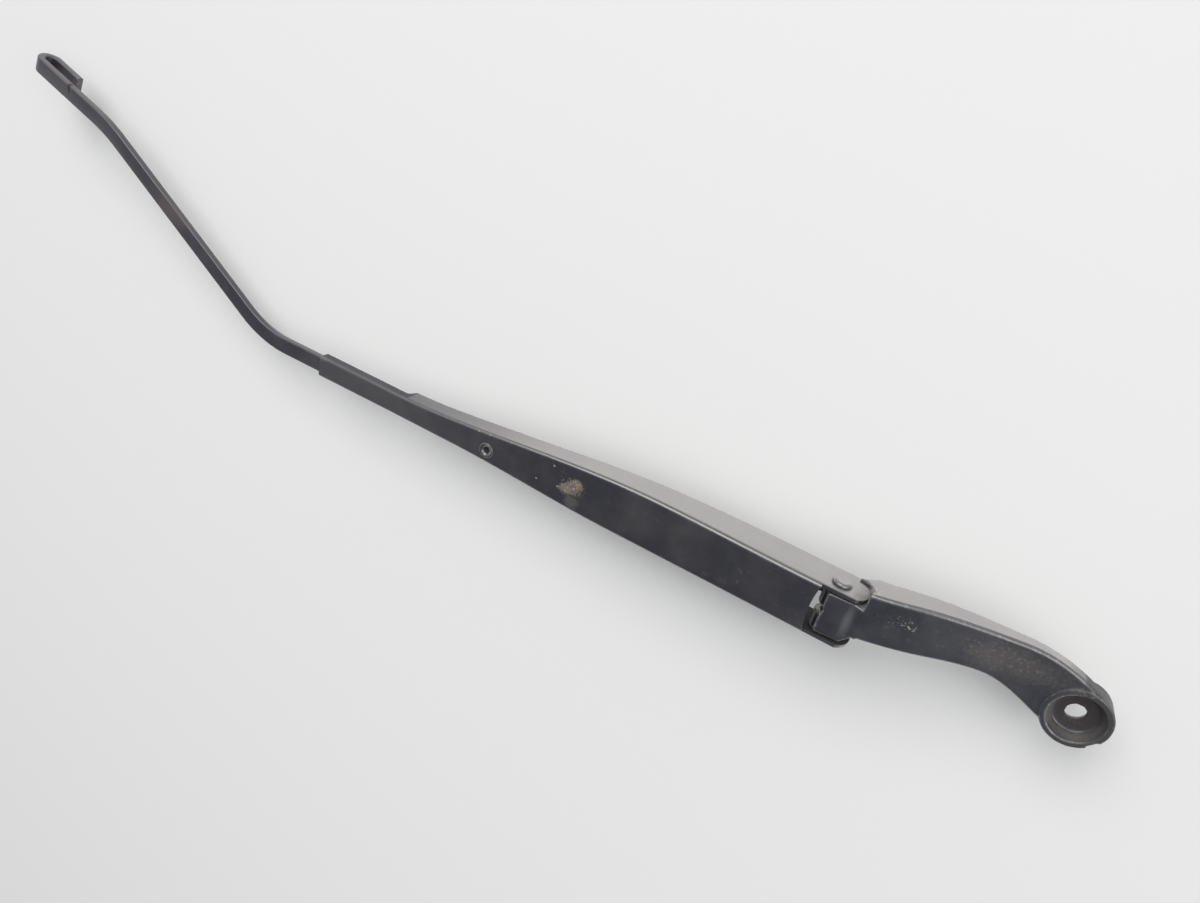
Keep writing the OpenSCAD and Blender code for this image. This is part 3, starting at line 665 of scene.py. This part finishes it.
def mark_edges(mesh, gain, spare, shade_share):
    """gain says how sharp a corner counts as 1. The corner stays 0 where spare is true of its place."""
    count = len(mesh.vertices)
    points = read_vectors(mesh.vertices, "co", 3)
    normals = read_vectors(mesh.vertices, "normal", 3)
    a, b = read_vectors(mesh.edges, "vertices", 2, int).T
    step = points[b] - points[a]
    length = np.linalg.norm(step, axis=1) + 1e-9
    fall = ((normals[b] - normals[a]) * step).sum(1) / length
    total = np.bincount(a, fall, count) + np.bincount(b, fall, count)
    touched = np.bincount(a, minlength=count) + np.bincount(b, minlength=count)
    value = np.clip(total / np.maximum(touched, 1) * gain, 0, 1)
    places = [Vector(p) for p in points]
    if spare:
        value[[i for i, place in enumerate(places) if spare(place)]] = 0
    write_attribute(mesh, "edge", value)
    shade_values = [shade_share(place) if shade_share else 0.0 for place in places]
    write_attribute(mesh, "open_air", 1.0 - np.array(shade_values))


print("edge and open_air are ready to be written")

# %% [markdown]
# ## Handing a piece over
# Every finished piece rides on its body, so that it moves with its joint, and stands for the solid that
# it replaces. A Bevel could keep edges crisp, but marking those sharper than an angle costs no geometry.

# %% Hand over a finished piece


def hand_over(obj, material, body, nodes, smooth=35, gain=6.0, spare=None, shade_share=None):
    mesh = obj.data
    mesh.materials.clear()
    mesh.materials.append(material)
    mesh.shade_smooth()
    mesh.set_sharp_from_angle(angle=math.radians(smooth))
    mark_edges(mesh, gain, spare, shade_share)
    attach(obj, body)
    if nodes:
        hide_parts(*nodes)
    print(obj.name, len(mesh.polygons), "faces on", body)


print("pieces can ride on the head, the arm or the link")

# %% [markdown]
# ## Retainer: the line of its sheet
# The real retainer is one blank of sheet steel, pressed into a channel and then folded shut round the
# bar. It is drawn the same way. Half of its section is a line of fixed developed length, which runs
# over the top, round the corner, down the wall and, further along, round the fold and under the bar.
# First come the plan and the height: the channel bellies out a little past the hinge, then narrows
# to the tube, and its walls get lower.

# %% Plan and height of the retainer
SHEET = 1.5
HINGE_W = 26.8
BELLY = 0.7
EAR_END = 12.9
FLANK = 20.8
WAIST = 12.2
FOLD_START = 233.0
FOLD_END = 246.0
TUBE_END = 292.0
LIP_GAP = 0.8
BAR_W = 9.0
BAR_T = 4.0
BAR_START = 146.0
BAR_Y = 3.3
BAR_HEADING = 0.5
FOLD_R = SHEET / 2 + 0.5
TUBE_W = BAR_W + 2 * SHEET
TUBE_WALL = BAR_T + SHEET - FOLD_R
TUBE_LIP = TUBE_W / 2 - SHEET / 2 - FOLD_R - LIP_GAP / 2
DEVELOPED = SHEET / 2 + TUBE_WALL + FOLD_R * math.pi / 2 + TUBE_LIP


def stretch(x, start, end):
    """Grows smoothly from 0 at start to 1 at end."""
    return ease((x - start) / (end - start))


def bar_y(x):
    """Where the bar's middle line lies sideways."""
    return BAR_Y + (x - BAR_START) * math.tan(math.radians(BAR_HEADING))


def left_edge(x):
    return mix(HINGE_W / 2, bar_y(FOLD_END) + TUBE_W / 2, stretch(x, 0.43 * FOLD_END, 0.83 * FOLD_END))


def right_edge(x):
    if x < 0.35 * FOLD_END:
        return -HINGE_W / 2 - BELLY * stretch(x, 14, 0.33 * FOLD_END)
    tube_edge = bar_y(FOLD_END) - TUBE_W / 2
    return mix(-HINGE_W / 2 - BELLY, tube_edge, stretch(x, 0.35 * FOLD_END, 0.99 * FOLD_END))


def flank(x):
    """The length of sheet from the top face down the wall, folded or not."""
    tall = mix(FLANK, WAIST, stretch(x, 20, 20 + 0.6 * FOLD_END))
    return tall - (WAIST - DEVELOPED) * stretch(x, 0.68 * FOLD_END, FOLD_START)


print("retainer's width at x = 80 and at the tube:", round(left_edge(80) - right_edge(80), 1), TUBE_W)

# %% [markdown]
# ## Retainer: section and sweep
# The line gets the sheet's thickness on both sides, which gives a closed ring, and a skin over many
# such rings is the pressing. A Solidify modifier could thicken a surface too, but here the fold closes
# under the bar while the section shrinks, and rings keep full control of that.

# %% Section of the sheet
TOP_R_HINGE = 2.0
TOP_R_TUBE = 1.7
FOOT_BAND = 0.3
FOOT_INSET = 0.25


def half_section(half_w, foot, top_r, fold):
    """Points and outward normals of half the sheet's middle line, from the top's middle to the foot."""
    line = [((half_w - top_r) * t, 0.0, 0.0, 1.0) for t in (0, 0.3, 0.6, 0.85)]
    for a in np.radians(np.linspace(90, 0, 9)):
        across, up = math.cos(a), math.sin(a)
        line.append((half_w - top_r + top_r * across, top_r * up - top_r, across, up))
    for t in (0.35, 0.7):
        line.append((half_w, mix(-top_r, -TUBE_WALL, t), 1.0, 0.0))
    arc = FOLD_R * math.pi / 2
    for s in [arc * i / 8 for i in range(9)] + [mix(arc, foot - FOOT_BAND, 0.5), foot - FOOT_BAND, foot]:
        a = min(math.radians(fold), s / FOLD_R)
        rest = s - FOLD_R * a
        line.append((half_w - FOLD_R + FOLD_R * math.cos(a) - rest * math.sin(a),
            -TUBE_WALL - FOLD_R * math.sin(a) - rest * math.cos(a), math.cos(a), -math.sin(a)))
    return line


def retainer_ring(x, thinned=1.0):
    """The closed section at x. thinned draws the sheet's two faces together, for the tube's mouth."""
    fold = 90 * stretch(x, FOLD_START, FOLD_END)
    top_r = mix(TOP_R_HINGE, TOP_R_TUBE, stretch(x, 0, FOLD_END)) - SHEET / 2
    y = (left_edge(x) + right_edge(x)) / 2 if x < FOLD_END else bar_y(x)
    half_w = (left_edge(x) - right_edge(x)) / 2 - SHEET / 2
    line = half_section(half_w, flank(x) - SHEET / 2 - TUBE_WALL, top_r, fold)
    thick = [SHEET / 2 * thinned] * (len(line) - 1) + [(SHEET / 2 - FOOT_INSET) * thinned]
    out = [(u + nu * t, w + nw * t) for (u, w, nu, nw), t in zip(line, thick)]
    inside = [(u - nu * t, w - nw * t) for (u, w, nu, nw), t in zip(line, thick)]
    loop = [(-u, w) for u, w in reversed(out)] + out[1:]
    loop += list(reversed(inside)) + [(-u, w) for u, w in inside[1:]]
    return [(x, y + u, TOP - SHEET / 2 + w) for u, w in loop]


print("a ring has", len(retainer_ring(0)), "points")

# %% [markdown]
# The skin joins each ring to the next with quads, and its two ends are closed with quads across the
# thin sheet. One large face would close them too, but a bent outline does not shade well.

# %% Sweep of the retainer
MOUTH_THINNED = 0.7


def skin(name, rings, place):
    """A closed skin over rings of equal length, in millimetres in the frame given by place."""
    count = len(rings[0])
    verts = [place @ Vector(p) for ring in rings for p in ring]
    faces = []
    for i in range(len(rings) - 1):
        for j in range(count):
            k = (j + 1) % count
            faces.append((i * count + j, i * count + k, (i + 1) * count + k, (i + 1) * count + j))
    last = (len(rings) - 1) * count
    for j in range(count // 2 - 1):
        quad = (j, j + 1, count - 2 - j, count - 1 - j)
        faces.append(tuple(reversed(quad)))
        faces.append(tuple(last + v for v in quad))
    return new_object(name, verts, faces)


stations = list(np.linspace(-EAR_END - 1, FOLD_START - 1, 84))
stations += list(np.linspace(FOLD_START, FOLD_END, 22))
stations += list(np.linspace(FOLD_END + 1.5, TUBE_END - 0.25, 16))
rings = [retainer_ring(x) for x in stations] + [retainer_ring(TUBE_END, MOUTH_THINNED)]
retainer = skin("retainer_pressing", rings, ARM)
print(retainer.name, "swept over", len(rings), "rings")

# %% [markdown]
# ## Retainer: what the press cuts out
# The slot at the hinge, the round ends of the ears and the holes are cut afterwards, as the press
# tool does, each with a Boolean modifier and a plain cutter. The slot's edge on the top plate is an arc
# of a large radius, so its cutter has many sides.

# %% Cuts in the retainer
SLOT_EDGE = 8.4
SLOT_ARC_R = 60
SLOT_CUTTER_Z = TOP - SHEET - 0.1 + 2.5
BEHIND_EARS = 6
PIN_R = 2.5
RIVET_X = 181.0
RIVET_R = 2.2


def rod(name, centre, axis, radius, length, segments=96):
    """A cylinder for cutting, centred at a place in the hinge's frame."""
    work = bmesh.new()
    turn = Vector(axis).to_track_quat("Z", "Y").to_matrix().to_4x4()
    bmesh.ops.create_cone(work, cap_ends=True, segments=segments, radius1=radius, radius2=radius,
        depth=length, matrix=ARM @ Matrix.Translation(centre) @ turn)
    return from_work(work, name)


def ear_cutter():
    """A block behind the ears with a round bay, which leaves the ears their round end."""
    r = FLANK / 2
    mid, front, back = TOP - r, r - EAR_END, -EAR_END - BEHIND_EARS
    half_turn = np.radians(np.linspace(90, 270, 49))
    outline = [(front + r * math.cos(a), mid + r * math.sin(a)) for a in half_turn]
    outline += [(front, mid - r - 3), (back, mid - r - 3), (back, mid + r + 3), (front, mid + r + 3)]
    right, left = [[ARM @ Vector((x, side, z)) for x, z in outline] for side in (-HINGE_W, HINGE_W)]
    return prism("ear_cutter", right, left)


def cut_by(obj, *cutters):
    for cutter in cutters:
        cut = obj.modifiers.new("cut", "BOOLEAN")
        cut.operation = "DIFFERENCE"
        cut.solver = "EXACT"
        cut.object = cutter
    frozen(obj)
    for cutter in cutters:
        bpy.data.objects.remove(cutter)


cut_by(retainer,
    rod("slot", (SLOT_EDGE - SLOT_ARC_R, 0, SLOT_CUTTER_Z), (0, 0, 1), SLOT_ARC_R, 5, 512),
    ear_cutter(),
    rod("pin_hole", (0, 0, 0), (0, 1, 0), PIN_R, HINGE_W + 6),
    rod("rivet_hole", (RIVET_X, bar_y(RIVET_X), TOP), (0, 0, 1), RIVET_R, 6))
print("retainer cut to", len(retainer.data.polygons), "faces")

# %% [markdown]
# ## Retainer: where it wears, and its painted highlight, sheen and shade
# Only the long ridge on the right gets the pale edge line, which is partly paint rubbed thin and partly
# a painted highlight. The inside of the channel gets no painted sheen and is painted dark as shade, and
# on the outer walls the painted sheen thins towards the tube. A painted mask could say so, but two
# short functions of the place are enough.

# %% Wear of the retainer
EARS_END = 12
RIDGE_BAND = 3
JUST_INSIDE = 1.2


def off_the_ridges(point):
    """True of all but the right ridge: the ears, the cut edges and the left side get no pale edge line."""
    x, y, z = ARM_INVERSE @ point
    return x < EARS_END or z < TOP - RIDGE_BAND or y > right_edge(x) + RIDGE_BAND


def inside_channel(point):
    """1 inside the channel, where the paint gets painted shade. Outside it grows to 0.5 towards the tube,
    which thins the painted sheen there.
    """
    x, y, z = ARM_INVERSE @ point
    between_walls = right_edge(x) + JUST_INSIDE < y < left_edge(x) - JUST_INSIDE
    if z < TOP - JUST_INSIDE and (x > FOLD_START or between_walls):
        return 1.0
    return 0.5 * stretch(x, 110, 220)


hand_over(retainer, paint_steel, "arm", ["retainer"], gain=4.0, spare=off_the_ridges,
    shade_share=inside_channel)

# %% [markdown]
# ## Bar: its middle line
# The bar is flat steel, 9 by 4 millimetres, bent on edge at the elbow and at the second bend and
# rolled over at the tip into the hook. Its middle line is a list of stations, each with a place, a
# heading in the plan and a pitch, which only the hook changes. A bevelled curve could follow the line
# too, but it may twist the section in the hook, and stations hold it square.

# %% Stations along the bar
ELBOW_AT, ELBOW_TURN, ELBOW_R = 335, -31.2, 60
REACH, TIP_TURN, TIP_R = 149, 13.2, 90
TIP_LEN = 65.5
HOOK_GAP = 5.8
HOOK_LEG = 19
BAR_MID = TOP - SHEET - BAR_T / 2
SHY = 0.05
STATION_GAP = 6
UP = Vector((0, 0, 1))


def heading(a):
    return Vector((math.cos(math.radians(a)), math.sin(math.radians(a)), 0))


def bend(corner, a, turn, radius, steps):
    """Stations round a bend on edge that starts at heading a and turns by turn degrees."""
    side = -1 if turn < 0 else 1
    start = corner - heading(a) * radius * math.tan(math.radians(abs(turn) / 2))
    centre = start + heading(a + 90) * side * radius
    return [(centre - heading(a + t + 90) * side * radius, a + t, 0.0) for t in np.linspace(0, turn, steps)]


def bar_path():
    """The hidden end, the elbow, the second bend and the hook."""
    h0, h1, h2 = BAR_HEADING, BAR_HEADING + ELBOW_TURN, BAR_HEADING + ELBOW_TURN + TIP_TURN
    begin = Vector((BAR_START, BAR_Y, BAR_MID))
    elbow = begin + heading(h0) * (ELBOW_AT - BAR_START)
    second = elbow + heading(h1) * REACH
    hook_r = HOOK_GAP / 2 + BAR_T / 2
    hook = second + heading(h2) * (TIP_LEN - hook_r - BAR_T / 2 - SHY) - hook_r * UP
    path = [(begin, h0, 0.0)]
    path += bend(elbow, h0, ELBOW_TURN, ELBOW_R, 25) + bend(second, h1, TIP_TURN, TIP_R, 15)
    for t in np.linspace(0, 180, 41):
        spoke = heading(h2) * math.sin(math.radians(t)) + UP * math.cos(math.radians(t))
        path.append((hook + hook_r * spoke, h2, t))
    path.append((hook - hook_r * UP - heading(h2) * HOOK_LEG, h2, 180.0))
    return path


def filled(path):
    """The path with stations added, so that none is further than the gap from the next."""
    made = []
    for (p, a, t), (q, b, s) in zip(path, path[1:]):
        steps = max(1, int((q - p).length / STATION_GAP))
        made += [(p.lerp(q, i / steps), mix(a, b, i / steps), mix(t, s, i / steps)) for i in range(steps)]
    return made + [path[-1]]


bar_stations = filled(bar_path())
print("bar with", len(bar_stations), "stations")

# %% [markdown]
# ## Bar: section, slot and rivet hole
# A rounded rectangle is carried along the stations and skinned. Each side is drawn a twentieth of a
# millimetre shy of its solid, so that the dressed bar stays inside the solids' box. The sheared ends
# are drawn in a little, as paint rounds them. A Boolean then cuts the slot for the spring's hook.

# %% Bar
BAR_EDGE_R = 0.9
END_ROUND = 0.4
ANCHOR_X = 152.2
ANCHOR_SLOT_R = 1.5
ANCHOR_SLOT_RUN = 1.0
BAR_CUTTER_Z = 5


def bar_ring(place, a, pitch, inset=0.0):
    side = heading(a + 90)
    up = heading(a) * math.sin(math.radians(pitch)) + UP * math.cos(math.radians(pitch))
    ring = []
    for su, sv, base in ((1, 1, 0), (-1, 1, 90), (-1, -1, 180), (1, -1, 270)):
        for t in np.radians(np.linspace(base, base + 90, 7)):
            u = su * (BAR_W / 2 - SHY - BAR_EDGE_R) + (BAR_EDGE_R - inset) * math.cos(t)
            v = sv * (BAR_T / 2 - SHY - BAR_EDGE_R) + (BAR_EDGE_R - inset) * math.sin(t)
            ring.append(place + side * u + up * v)
    return ring


def ends_softened(path):
    """Rings for the bar, the first and last ones drawn in, as a sheared end is after painting."""
    first, last = path[0], path[-1]
    ahead = (path[1][0] - first[0]).normalized() * END_ROUND
    behind = (last[0] - path[-2][0]).normalized() * END_ROUND
    rings = [bar_ring(*first, END_ROUND), bar_ring(first[0] + ahead, first[1], first[2])]
    rings += [bar_ring(*station) for station in path[1:-1]]
    rings += [bar_ring(last[0] - behind, last[1], last[2]), bar_ring(*last, END_ROUND)]
    return rings


bar = skin("flat_bar", ends_softened(bar_stations), ARM)
anchor_y = bar_y(ANCHOR_X)
holes = ((ANCHOR_X, anchor_y, ANCHOR_SLOT_R), (ANCHOR_X + ANCHOR_SLOT_RUN, anchor_y, ANCHOR_SLOT_R),
    (RIVET_X, bar_y(RIVET_X), RIVET_R))
cutters = [rod("bar_cutter", (x, y, BAR_CUTTER_Z), (0, 0, 1), r, 2 * BAR_T, 48) for x, y, r in holes]
cut_by(bar, *cutters)
hand_over(bar, paint_bar, "arm", ["arm_bar"], gain=1.5)

# %% [markdown]
# ## Mounting head
# The head is a die casting, so no edge on it is quite sharp. Its solid is rebuilt as one even skin of
# small quads by a voxel Remesh and then relaxed, which rounds every edge and fillets every inside
# corner by about the same small radius, as a casting's draft and paint do. A Bevel modifier needs
# clean faces, which a triangulated solid lacks. The front corner of the shoulder's wall is joined on
# first, because in the photograph it reaches forward beside the ear.

# %% Mounting head
LIP_THICKNESS = 2.6
VOXEL = 0.00042
RELAX_ROUNDS = 2
MICRON = 1e-6


def shoulder_lip():
    """The wall's front corner. Its outline is x, the right side's y, and z, in millimetres."""
    outline = [(90.0, -19.45, 10.6), (93.4, -19.15, 10.6), (93.8, -19.1, 8.9), (94.9, -19.03, 6.1),
        (96.4, -18.9, 3.9), (98.3, -18.75, 2.5), (100.6, -18.6, 1.6), (97.2, -18.85, 0.0),
        (93.0, -19.2, -1.7), (90.0, -19.45, -2.2)]
    outer = [Vector(place) * MM for place in outline]
    inner = [Vector((x, y + LIP_THICKNESS, z)) * MM for x, y, z in outline]
    return prism("shoulder_lip", inner, outer)


def cast_skin(name, solid, addition):
    """One relaxed skin over a solid and an added form, which is used up."""
    work = bmesh.new()
    work.from_mesh(solid.data)
    work.from_mesh(addition.data)
    bpy.data.objects.remove(addition)
    bmesh.ops.remove_doubles(work, verts=work.verts, dist=MICRON)
    made = from_work(work, name)
    remesh = made.modifiers.new("even_skin", "REMESH")
    remesh.mode = "VOXEL"
    remesh.voxel_size = VOXEL
    relax = made.modifiers.new("relax", "SMOOTH")
    relax.factor = 0.5
    relax.iterations = RELAX_ROUNDS
    return frozen(made)


def round_the_boss(point):
    """From 0 on the neck to nearly 1 round the boss, which gets painted shade and little painted sheen."""
    return 0.97 * ease((0.017 - point.x) / 0.014)


head = cast_skin("head_casting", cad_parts["mounting_head"], shoulder_lip())
highest = cad_box[1][2] - MICRON
for vertex in head.data.vertices:
    vertex.co.z = min(vertex.co.z, highest)
hand_over(head, paint_cast, "head", ["mounting_head"], smooth=180, gain=5.0,
    shade_share=round_the_boss)

# %% [markdown]
# ## Turned pieces
# The hinge pin and the bar's rivet are round, so each is a profile turned about its axis. A Screw
# modifier would do the same, but a loop lets the two ends close on one point each. The pin's visible
# head has a raised bevelled face, and its other end is peened to a low dome. The rivet is hollow at
# its upper end, which is the dimple on the retainer's top.

# %% Hinge pin and rivet
EAR_FACE = HINGE_W / 2
RIVET_LOW = TOP - SHEET - BAR_T


def turned(name, profile, centre, axis, segments=64):
    """profile is a list of (radius, height) in millimetres, from the lower end to the upper end."""
    matrix = ARM @ Matrix.Translation(centre) @ Vector(axis).to_track_quat("Z", "Y").to_matrix().to_4x4()
    angles = [2 * math.pi * i / segments for i in range(segments)]
    verts = [matrix @ Vector((0, 0, profile[0][1]))]
    for r, h in profile:
        verts += [matrix @ Vector((r * math.cos(a), r * math.sin(a), h)) for a in angles]
    verts.append(matrix @ Vector((0, 0, profile[-1][1])))
    faces = []
    for i in range(segments):
        k = (i + 1) % segments
        faces.append((0, 1 + k, 1 + i))
        for base in range(1, 1 + (len(profile) - 1) * segments, segments):
            faces.append((base + i, base + k, base + segments + k, base + segments + i))
        base = 1 + (len(profile) - 1) * segments
        faces.append((base + i, base + k, len(verts) - 1))
    return new_object(name, verts, faces)


dome = np.radians(np.linspace(84, 0, 7))
peened = [(4.0 * math.cos(a), -EAR_FACE - 1.2 * math.sin(a)) for a in dome]
bevelled = [(r, EAR_FACE + h) for r, h in (
    (4.1, 0), (4.1, 1.2), (3.95, 1.5), (3.45, 1.95), (3.25, 2.0), (2.2, 1.97))]
pin_profile = peened + [(PIN_R, -EAR_FACE), (PIN_R, EAR_FACE)] + bevelled
hinge_pin = turned("hinge_pin_rivet", pin_profile, (0, 0, 0), (0, -1, 0))
hand_over(hinge_pin, paint_pin, "arm", ["hinge_pin"], smooth=28, gain=3.0)

lower_head = [(r, RIVET_LOW - h) for r, h in ((2.4, 0.9), (3.5, 0.85), (3.9, 0.6), (4.0, 0.3), (4.0, 0.0))]
upper_head = [(r, TOP + h) for r, h in ((4.0, 0.0), (4.0, 0.3), (3.85, 0.65), (3.6, 0.85), (3.3, 0.85))]
hollow = [(r, TOP + h) for r, h in ((2.7, 0.55), (2.1, 0.1), (1.6, -0.5), (1.5, -1.2), (1.2, -1.3))]
rivet_profile = lower_head + [(RIVET_R, RIVET_LOW), (RIVET_R, TOP)] + upper_head + hollow
rivet = turned("bar_rivet_tube", rivet_profile, (RIVET_X, bar_y(RIVET_X), 0), (0, 0, 1))
hand_over(rivet, paint_pin, "arm", ["bar_rivet"], smooth=40, gain=1.0)

# %% [markdown]
# ## Spring: its path
# A tension spring is a wire that follows a path: a loop through the link, the turns, and a hook at
# the far end that turns up into the bar's slot. The turns stand a little apart, because the spring is
# stretched even at rest. A Screw modifier could make the turns alone, but a curve takes the whole path,
# worked out in a frame whose x axis runs from the link to the slot.

# %% Spring path
WIRE = 2.2
COIL_R = (11.0 - WIRE) / 2
COILS, PITCH = 29, 3.6
STEPS_A_TURN = 36
LINK_BACK, LINK_DROP, LINK_LEN = 3, 7, 18.4
ANCHOR_RISE = 1.5
HOOK_R = 2

pull_x = ANCHOR_X * math.cos(DROOP) + ANCHOR_RISE * math.sin(DROOP) + LINK_BACK
pull_z = ANCHOR_RISE * math.cos(DROOP) - ANCHOR_X * math.sin(DROOP) + LINK_DROP
spring_run = math.hypot(pull_x, pull_z) - LINK_LEN
link_pin_place = Matrix.Translation((HINGE.x - LINK_BACK, 0, HINGE.z - LINK_DROP))
along_pull = Matrix.Rotation(-math.atan2(pull_z, pull_x), 4, "Y")
sideways = Matrix.Rotation(math.atan2(bar_y(ANCHOR_X), spring_run), 4, "Z")
SPRING = HEAD @ link_pin_place @ along_pull @ Matrix.Translation((LINK_LEN, 0, 0)) @ sideways


def spring_wire():
    """Points of the wire: the loop, the coils, the run to the axis, the bend and the hook's end."""
    loop_x = COIL_R + 0.3
    coil_x = loop_x + COIL_R * 0.6
    coil_end = coil_x + COILS * PITCH + PITCH / 4
    hook_x = math.hypot(spring_run, bar_y(ANCHOR_X))
    loop = np.radians(np.linspace(330, 100, 28))
    wire = [(loop_x + COIL_R * math.cos(a), COIL_R * math.sin(a), 0) for a in loop]
    for i in range(COILS * STEPS_A_TURN + 10):
        a = 2 * math.pi * i / STEPS_A_TURN
        wire.append((coil_x + PITCH * i / STEPS_A_TURN, COIL_R * math.cos(a), COIL_R * math.sin(a)))
    wire += [(coil_end + 7 * t, 0, COIL_R * (1 - ease(t))) for t in np.linspace(0.15, 1, 10)]
    for a in np.radians(np.linspace(0, 85, 9)):
        wire.append((hook_x - HOOK_R + HOOK_R * math.sin(a), 0, HOOK_R - HOOK_R * math.cos(a)))
    wire.append((hook_x, 0, TOP - SHEET - ANCHOR_RISE - 0.4))
    return wire


wire_points = spring_wire()
curve_data = bpy.data.curves.new("spring_path", "CURVE")
curve_data.dimensions = "3D"
spline = curve_data.splines.new("POLY")
spline.points.add(len(wire_points) - 1)
for point, place in zip(spline.points, wire_points):
    point.co = (*(SPRING @ Vector(place)), 1)
spring_path = in_scene("tension_spring_wire", curve_data)
print("spring path of", len(wire_points), "points")

# %% [markdown]
# ## Spring: wire along the path
# A curve's own bevel could thicken the path. A Geometry Nodes tree does it with named inputs for the
# wire's radius and the number of its sides, which the modifier sets before it is applied. A circle is
# the section, and Curve to Mesh carries it along.

# %% Spring tree
WIRE_SIDES = 10


def geometry_tree(name, given_name, result_name):
    """A Geometry Nodes tree with one geometry input and one output, and the nodes at its two ends."""
    tree = bpy.data.node_groups.new(name, "GeometryNodeTree")
    tree.interface.new_socket(given_name, in_out="INPUT", socket_type="NodeSocketGeometry")
    tree.interface.new_socket(result_name, in_out="OUTPUT", socket_type="NodeSocketGeometry")
    return tree


def number_input(tree, name, kind):
    return tree.interface.new_socket(name, in_out="INPUT", socket_type="NodeSocket" + kind).identifier


def realized(tree, geometry, material, result_name):
    """Ends a tree in Realize Instances and Set Material."""
    real = add(tree, "GeometryNodeRealizeInstances", {"Geometry": geometry})
    done = add(tree, "GeometryNodeSetMaterial", {"Geometry": real.outputs[0], "Material": material})
    tree.links.new(done.outputs[0], tree.nodes.new("NodeGroupOutput").inputs[result_name])


def wire_tree(material):
    tree = geometry_tree("wire_along_path", "Path", "Wire")
    radius_id, sides_id = number_input(tree, "Wire Radius", "Float"), number_input(tree, "Sides", "Int")
    given = tree.nodes.new("NodeGroupInput").outputs
    section = add(tree, "GeometryNodeCurvePrimitiveCircle",
        {"Resolution": given["Sides"], "Radius": given["Wire Radius"]})
    body = add(tree, "GeometryNodeCurveToMesh",
        {"Curve": given["Path"], "Profile Curve": section.outputs["Curve"], "Fill Caps": True})
    realized(tree, body.outputs[0], material, "Wire")
    return tree, radius_id, sides_id


tree, radius_id, sides_id = wire_tree(spring_steel)
along = spring_path.modifiers.new("wire", "NODES")
along.node_group = tree
along[radius_id] = WIRE / 2 * MM
along[sides_id] = WIRE_SIDES
spring = frozen(spring_path)
spring.name = "tension_spring_wire"
hand_over(spring, spring_steel, "link", ["tension_spring"], smooth=60)

# %% [markdown]
# ## Socket serrations
# Under the stud hole the socket is a fine-toothed taper that bites on the spindle. The teeth repeat
# round a circle. An Array modifier with an empty would turn them too, but a Geometry Nodes tree needs
# no second object: it puts one small ridge, drawn at the socket's wall, on as many points as its
# input says there are teeth, and turns each by its index.

# %% Serrations
TEETH = 36
TOOTH_HALF = 0.42
SOCKET_LOW, SOCKET_LOW_R = -5.35, 5.87
SOCKET_HIGH, SOCKET_HIGH_R = -2.6, 4.83
BEHIND_WALL = 0.1


def tooth():
    """A narrow three-sided ridge that leans with the taper and gets finer upwards."""
    verts = []
    for z, r, half, height in ((SOCKET_LOW, SOCKET_LOW_R, TOOTH_HALF, TOOTH_HALF),
                               (SOCKET_HIGH, SOCKET_HIGH_R, TOOTH_HALF * 0.8, TOOTH_HALF * 0.7)):
        verts += [(r + BEHIND_WALL, -half, z), (r + BEHIND_WALL, half, z), (r - height, 0, z)]
    faces = [(0, 2, 1), (3, 4, 5), (0, 1, 4, 3), (1, 2, 5, 4), (2, 0, 3, 5)]
    return faced_outwards(new_object("serration_ridge", [Vector(v) * MM for v in verts], faces))


def serration_tree(material):
    tree = geometry_tree("teeth_round_socket", "Tooth", "Ring")
    count_id = number_input(tree, "Teeth", "Int")
    given = tree.nodes.new("NodeGroupInput").outputs
    line = add(tree, "GeometryNodeMeshLine", {"Count": given["Teeth"], "Offset": (0, 0, 0)})
    index = add(tree, "GeometryNodeInputIndex").outputs[0]
    angle = maths(tree, "MULTIPLY", index, maths(tree, "DIVIDE", 2 * math.pi, given["Teeth"]))
    turn = add(tree, "ShaderNodeCombineXYZ", {"Z": angle}).outputs[0]
    placed = add(tree, "GeometryNodeInstanceOnPoints",
        {"Points": line.outputs[0], "Instance": given["Tooth"], "Rotation": turn})
    realized(tree, placed.outputs[0], material, "Ring")
    return tree, count_id


socket_metal = bare("socket_metal", (0.34, 0.30, 0.26, 1), (0.20, 0.13, 0.085, 1),
    0.7, 0.45, 300.0, (0.4, 0.9, 0.1))
teeth = tooth()
teeth.name = "socket_serrations"
tree, count_id = serration_tree(socket_metal)
around = teeth.modifiers.new("teeth", "NODES")
around.node_group = tree
around[count_id] = TEETH
frozen(teeth)
hand_over(teeth, socket_metal, "head", [], smooth=20)
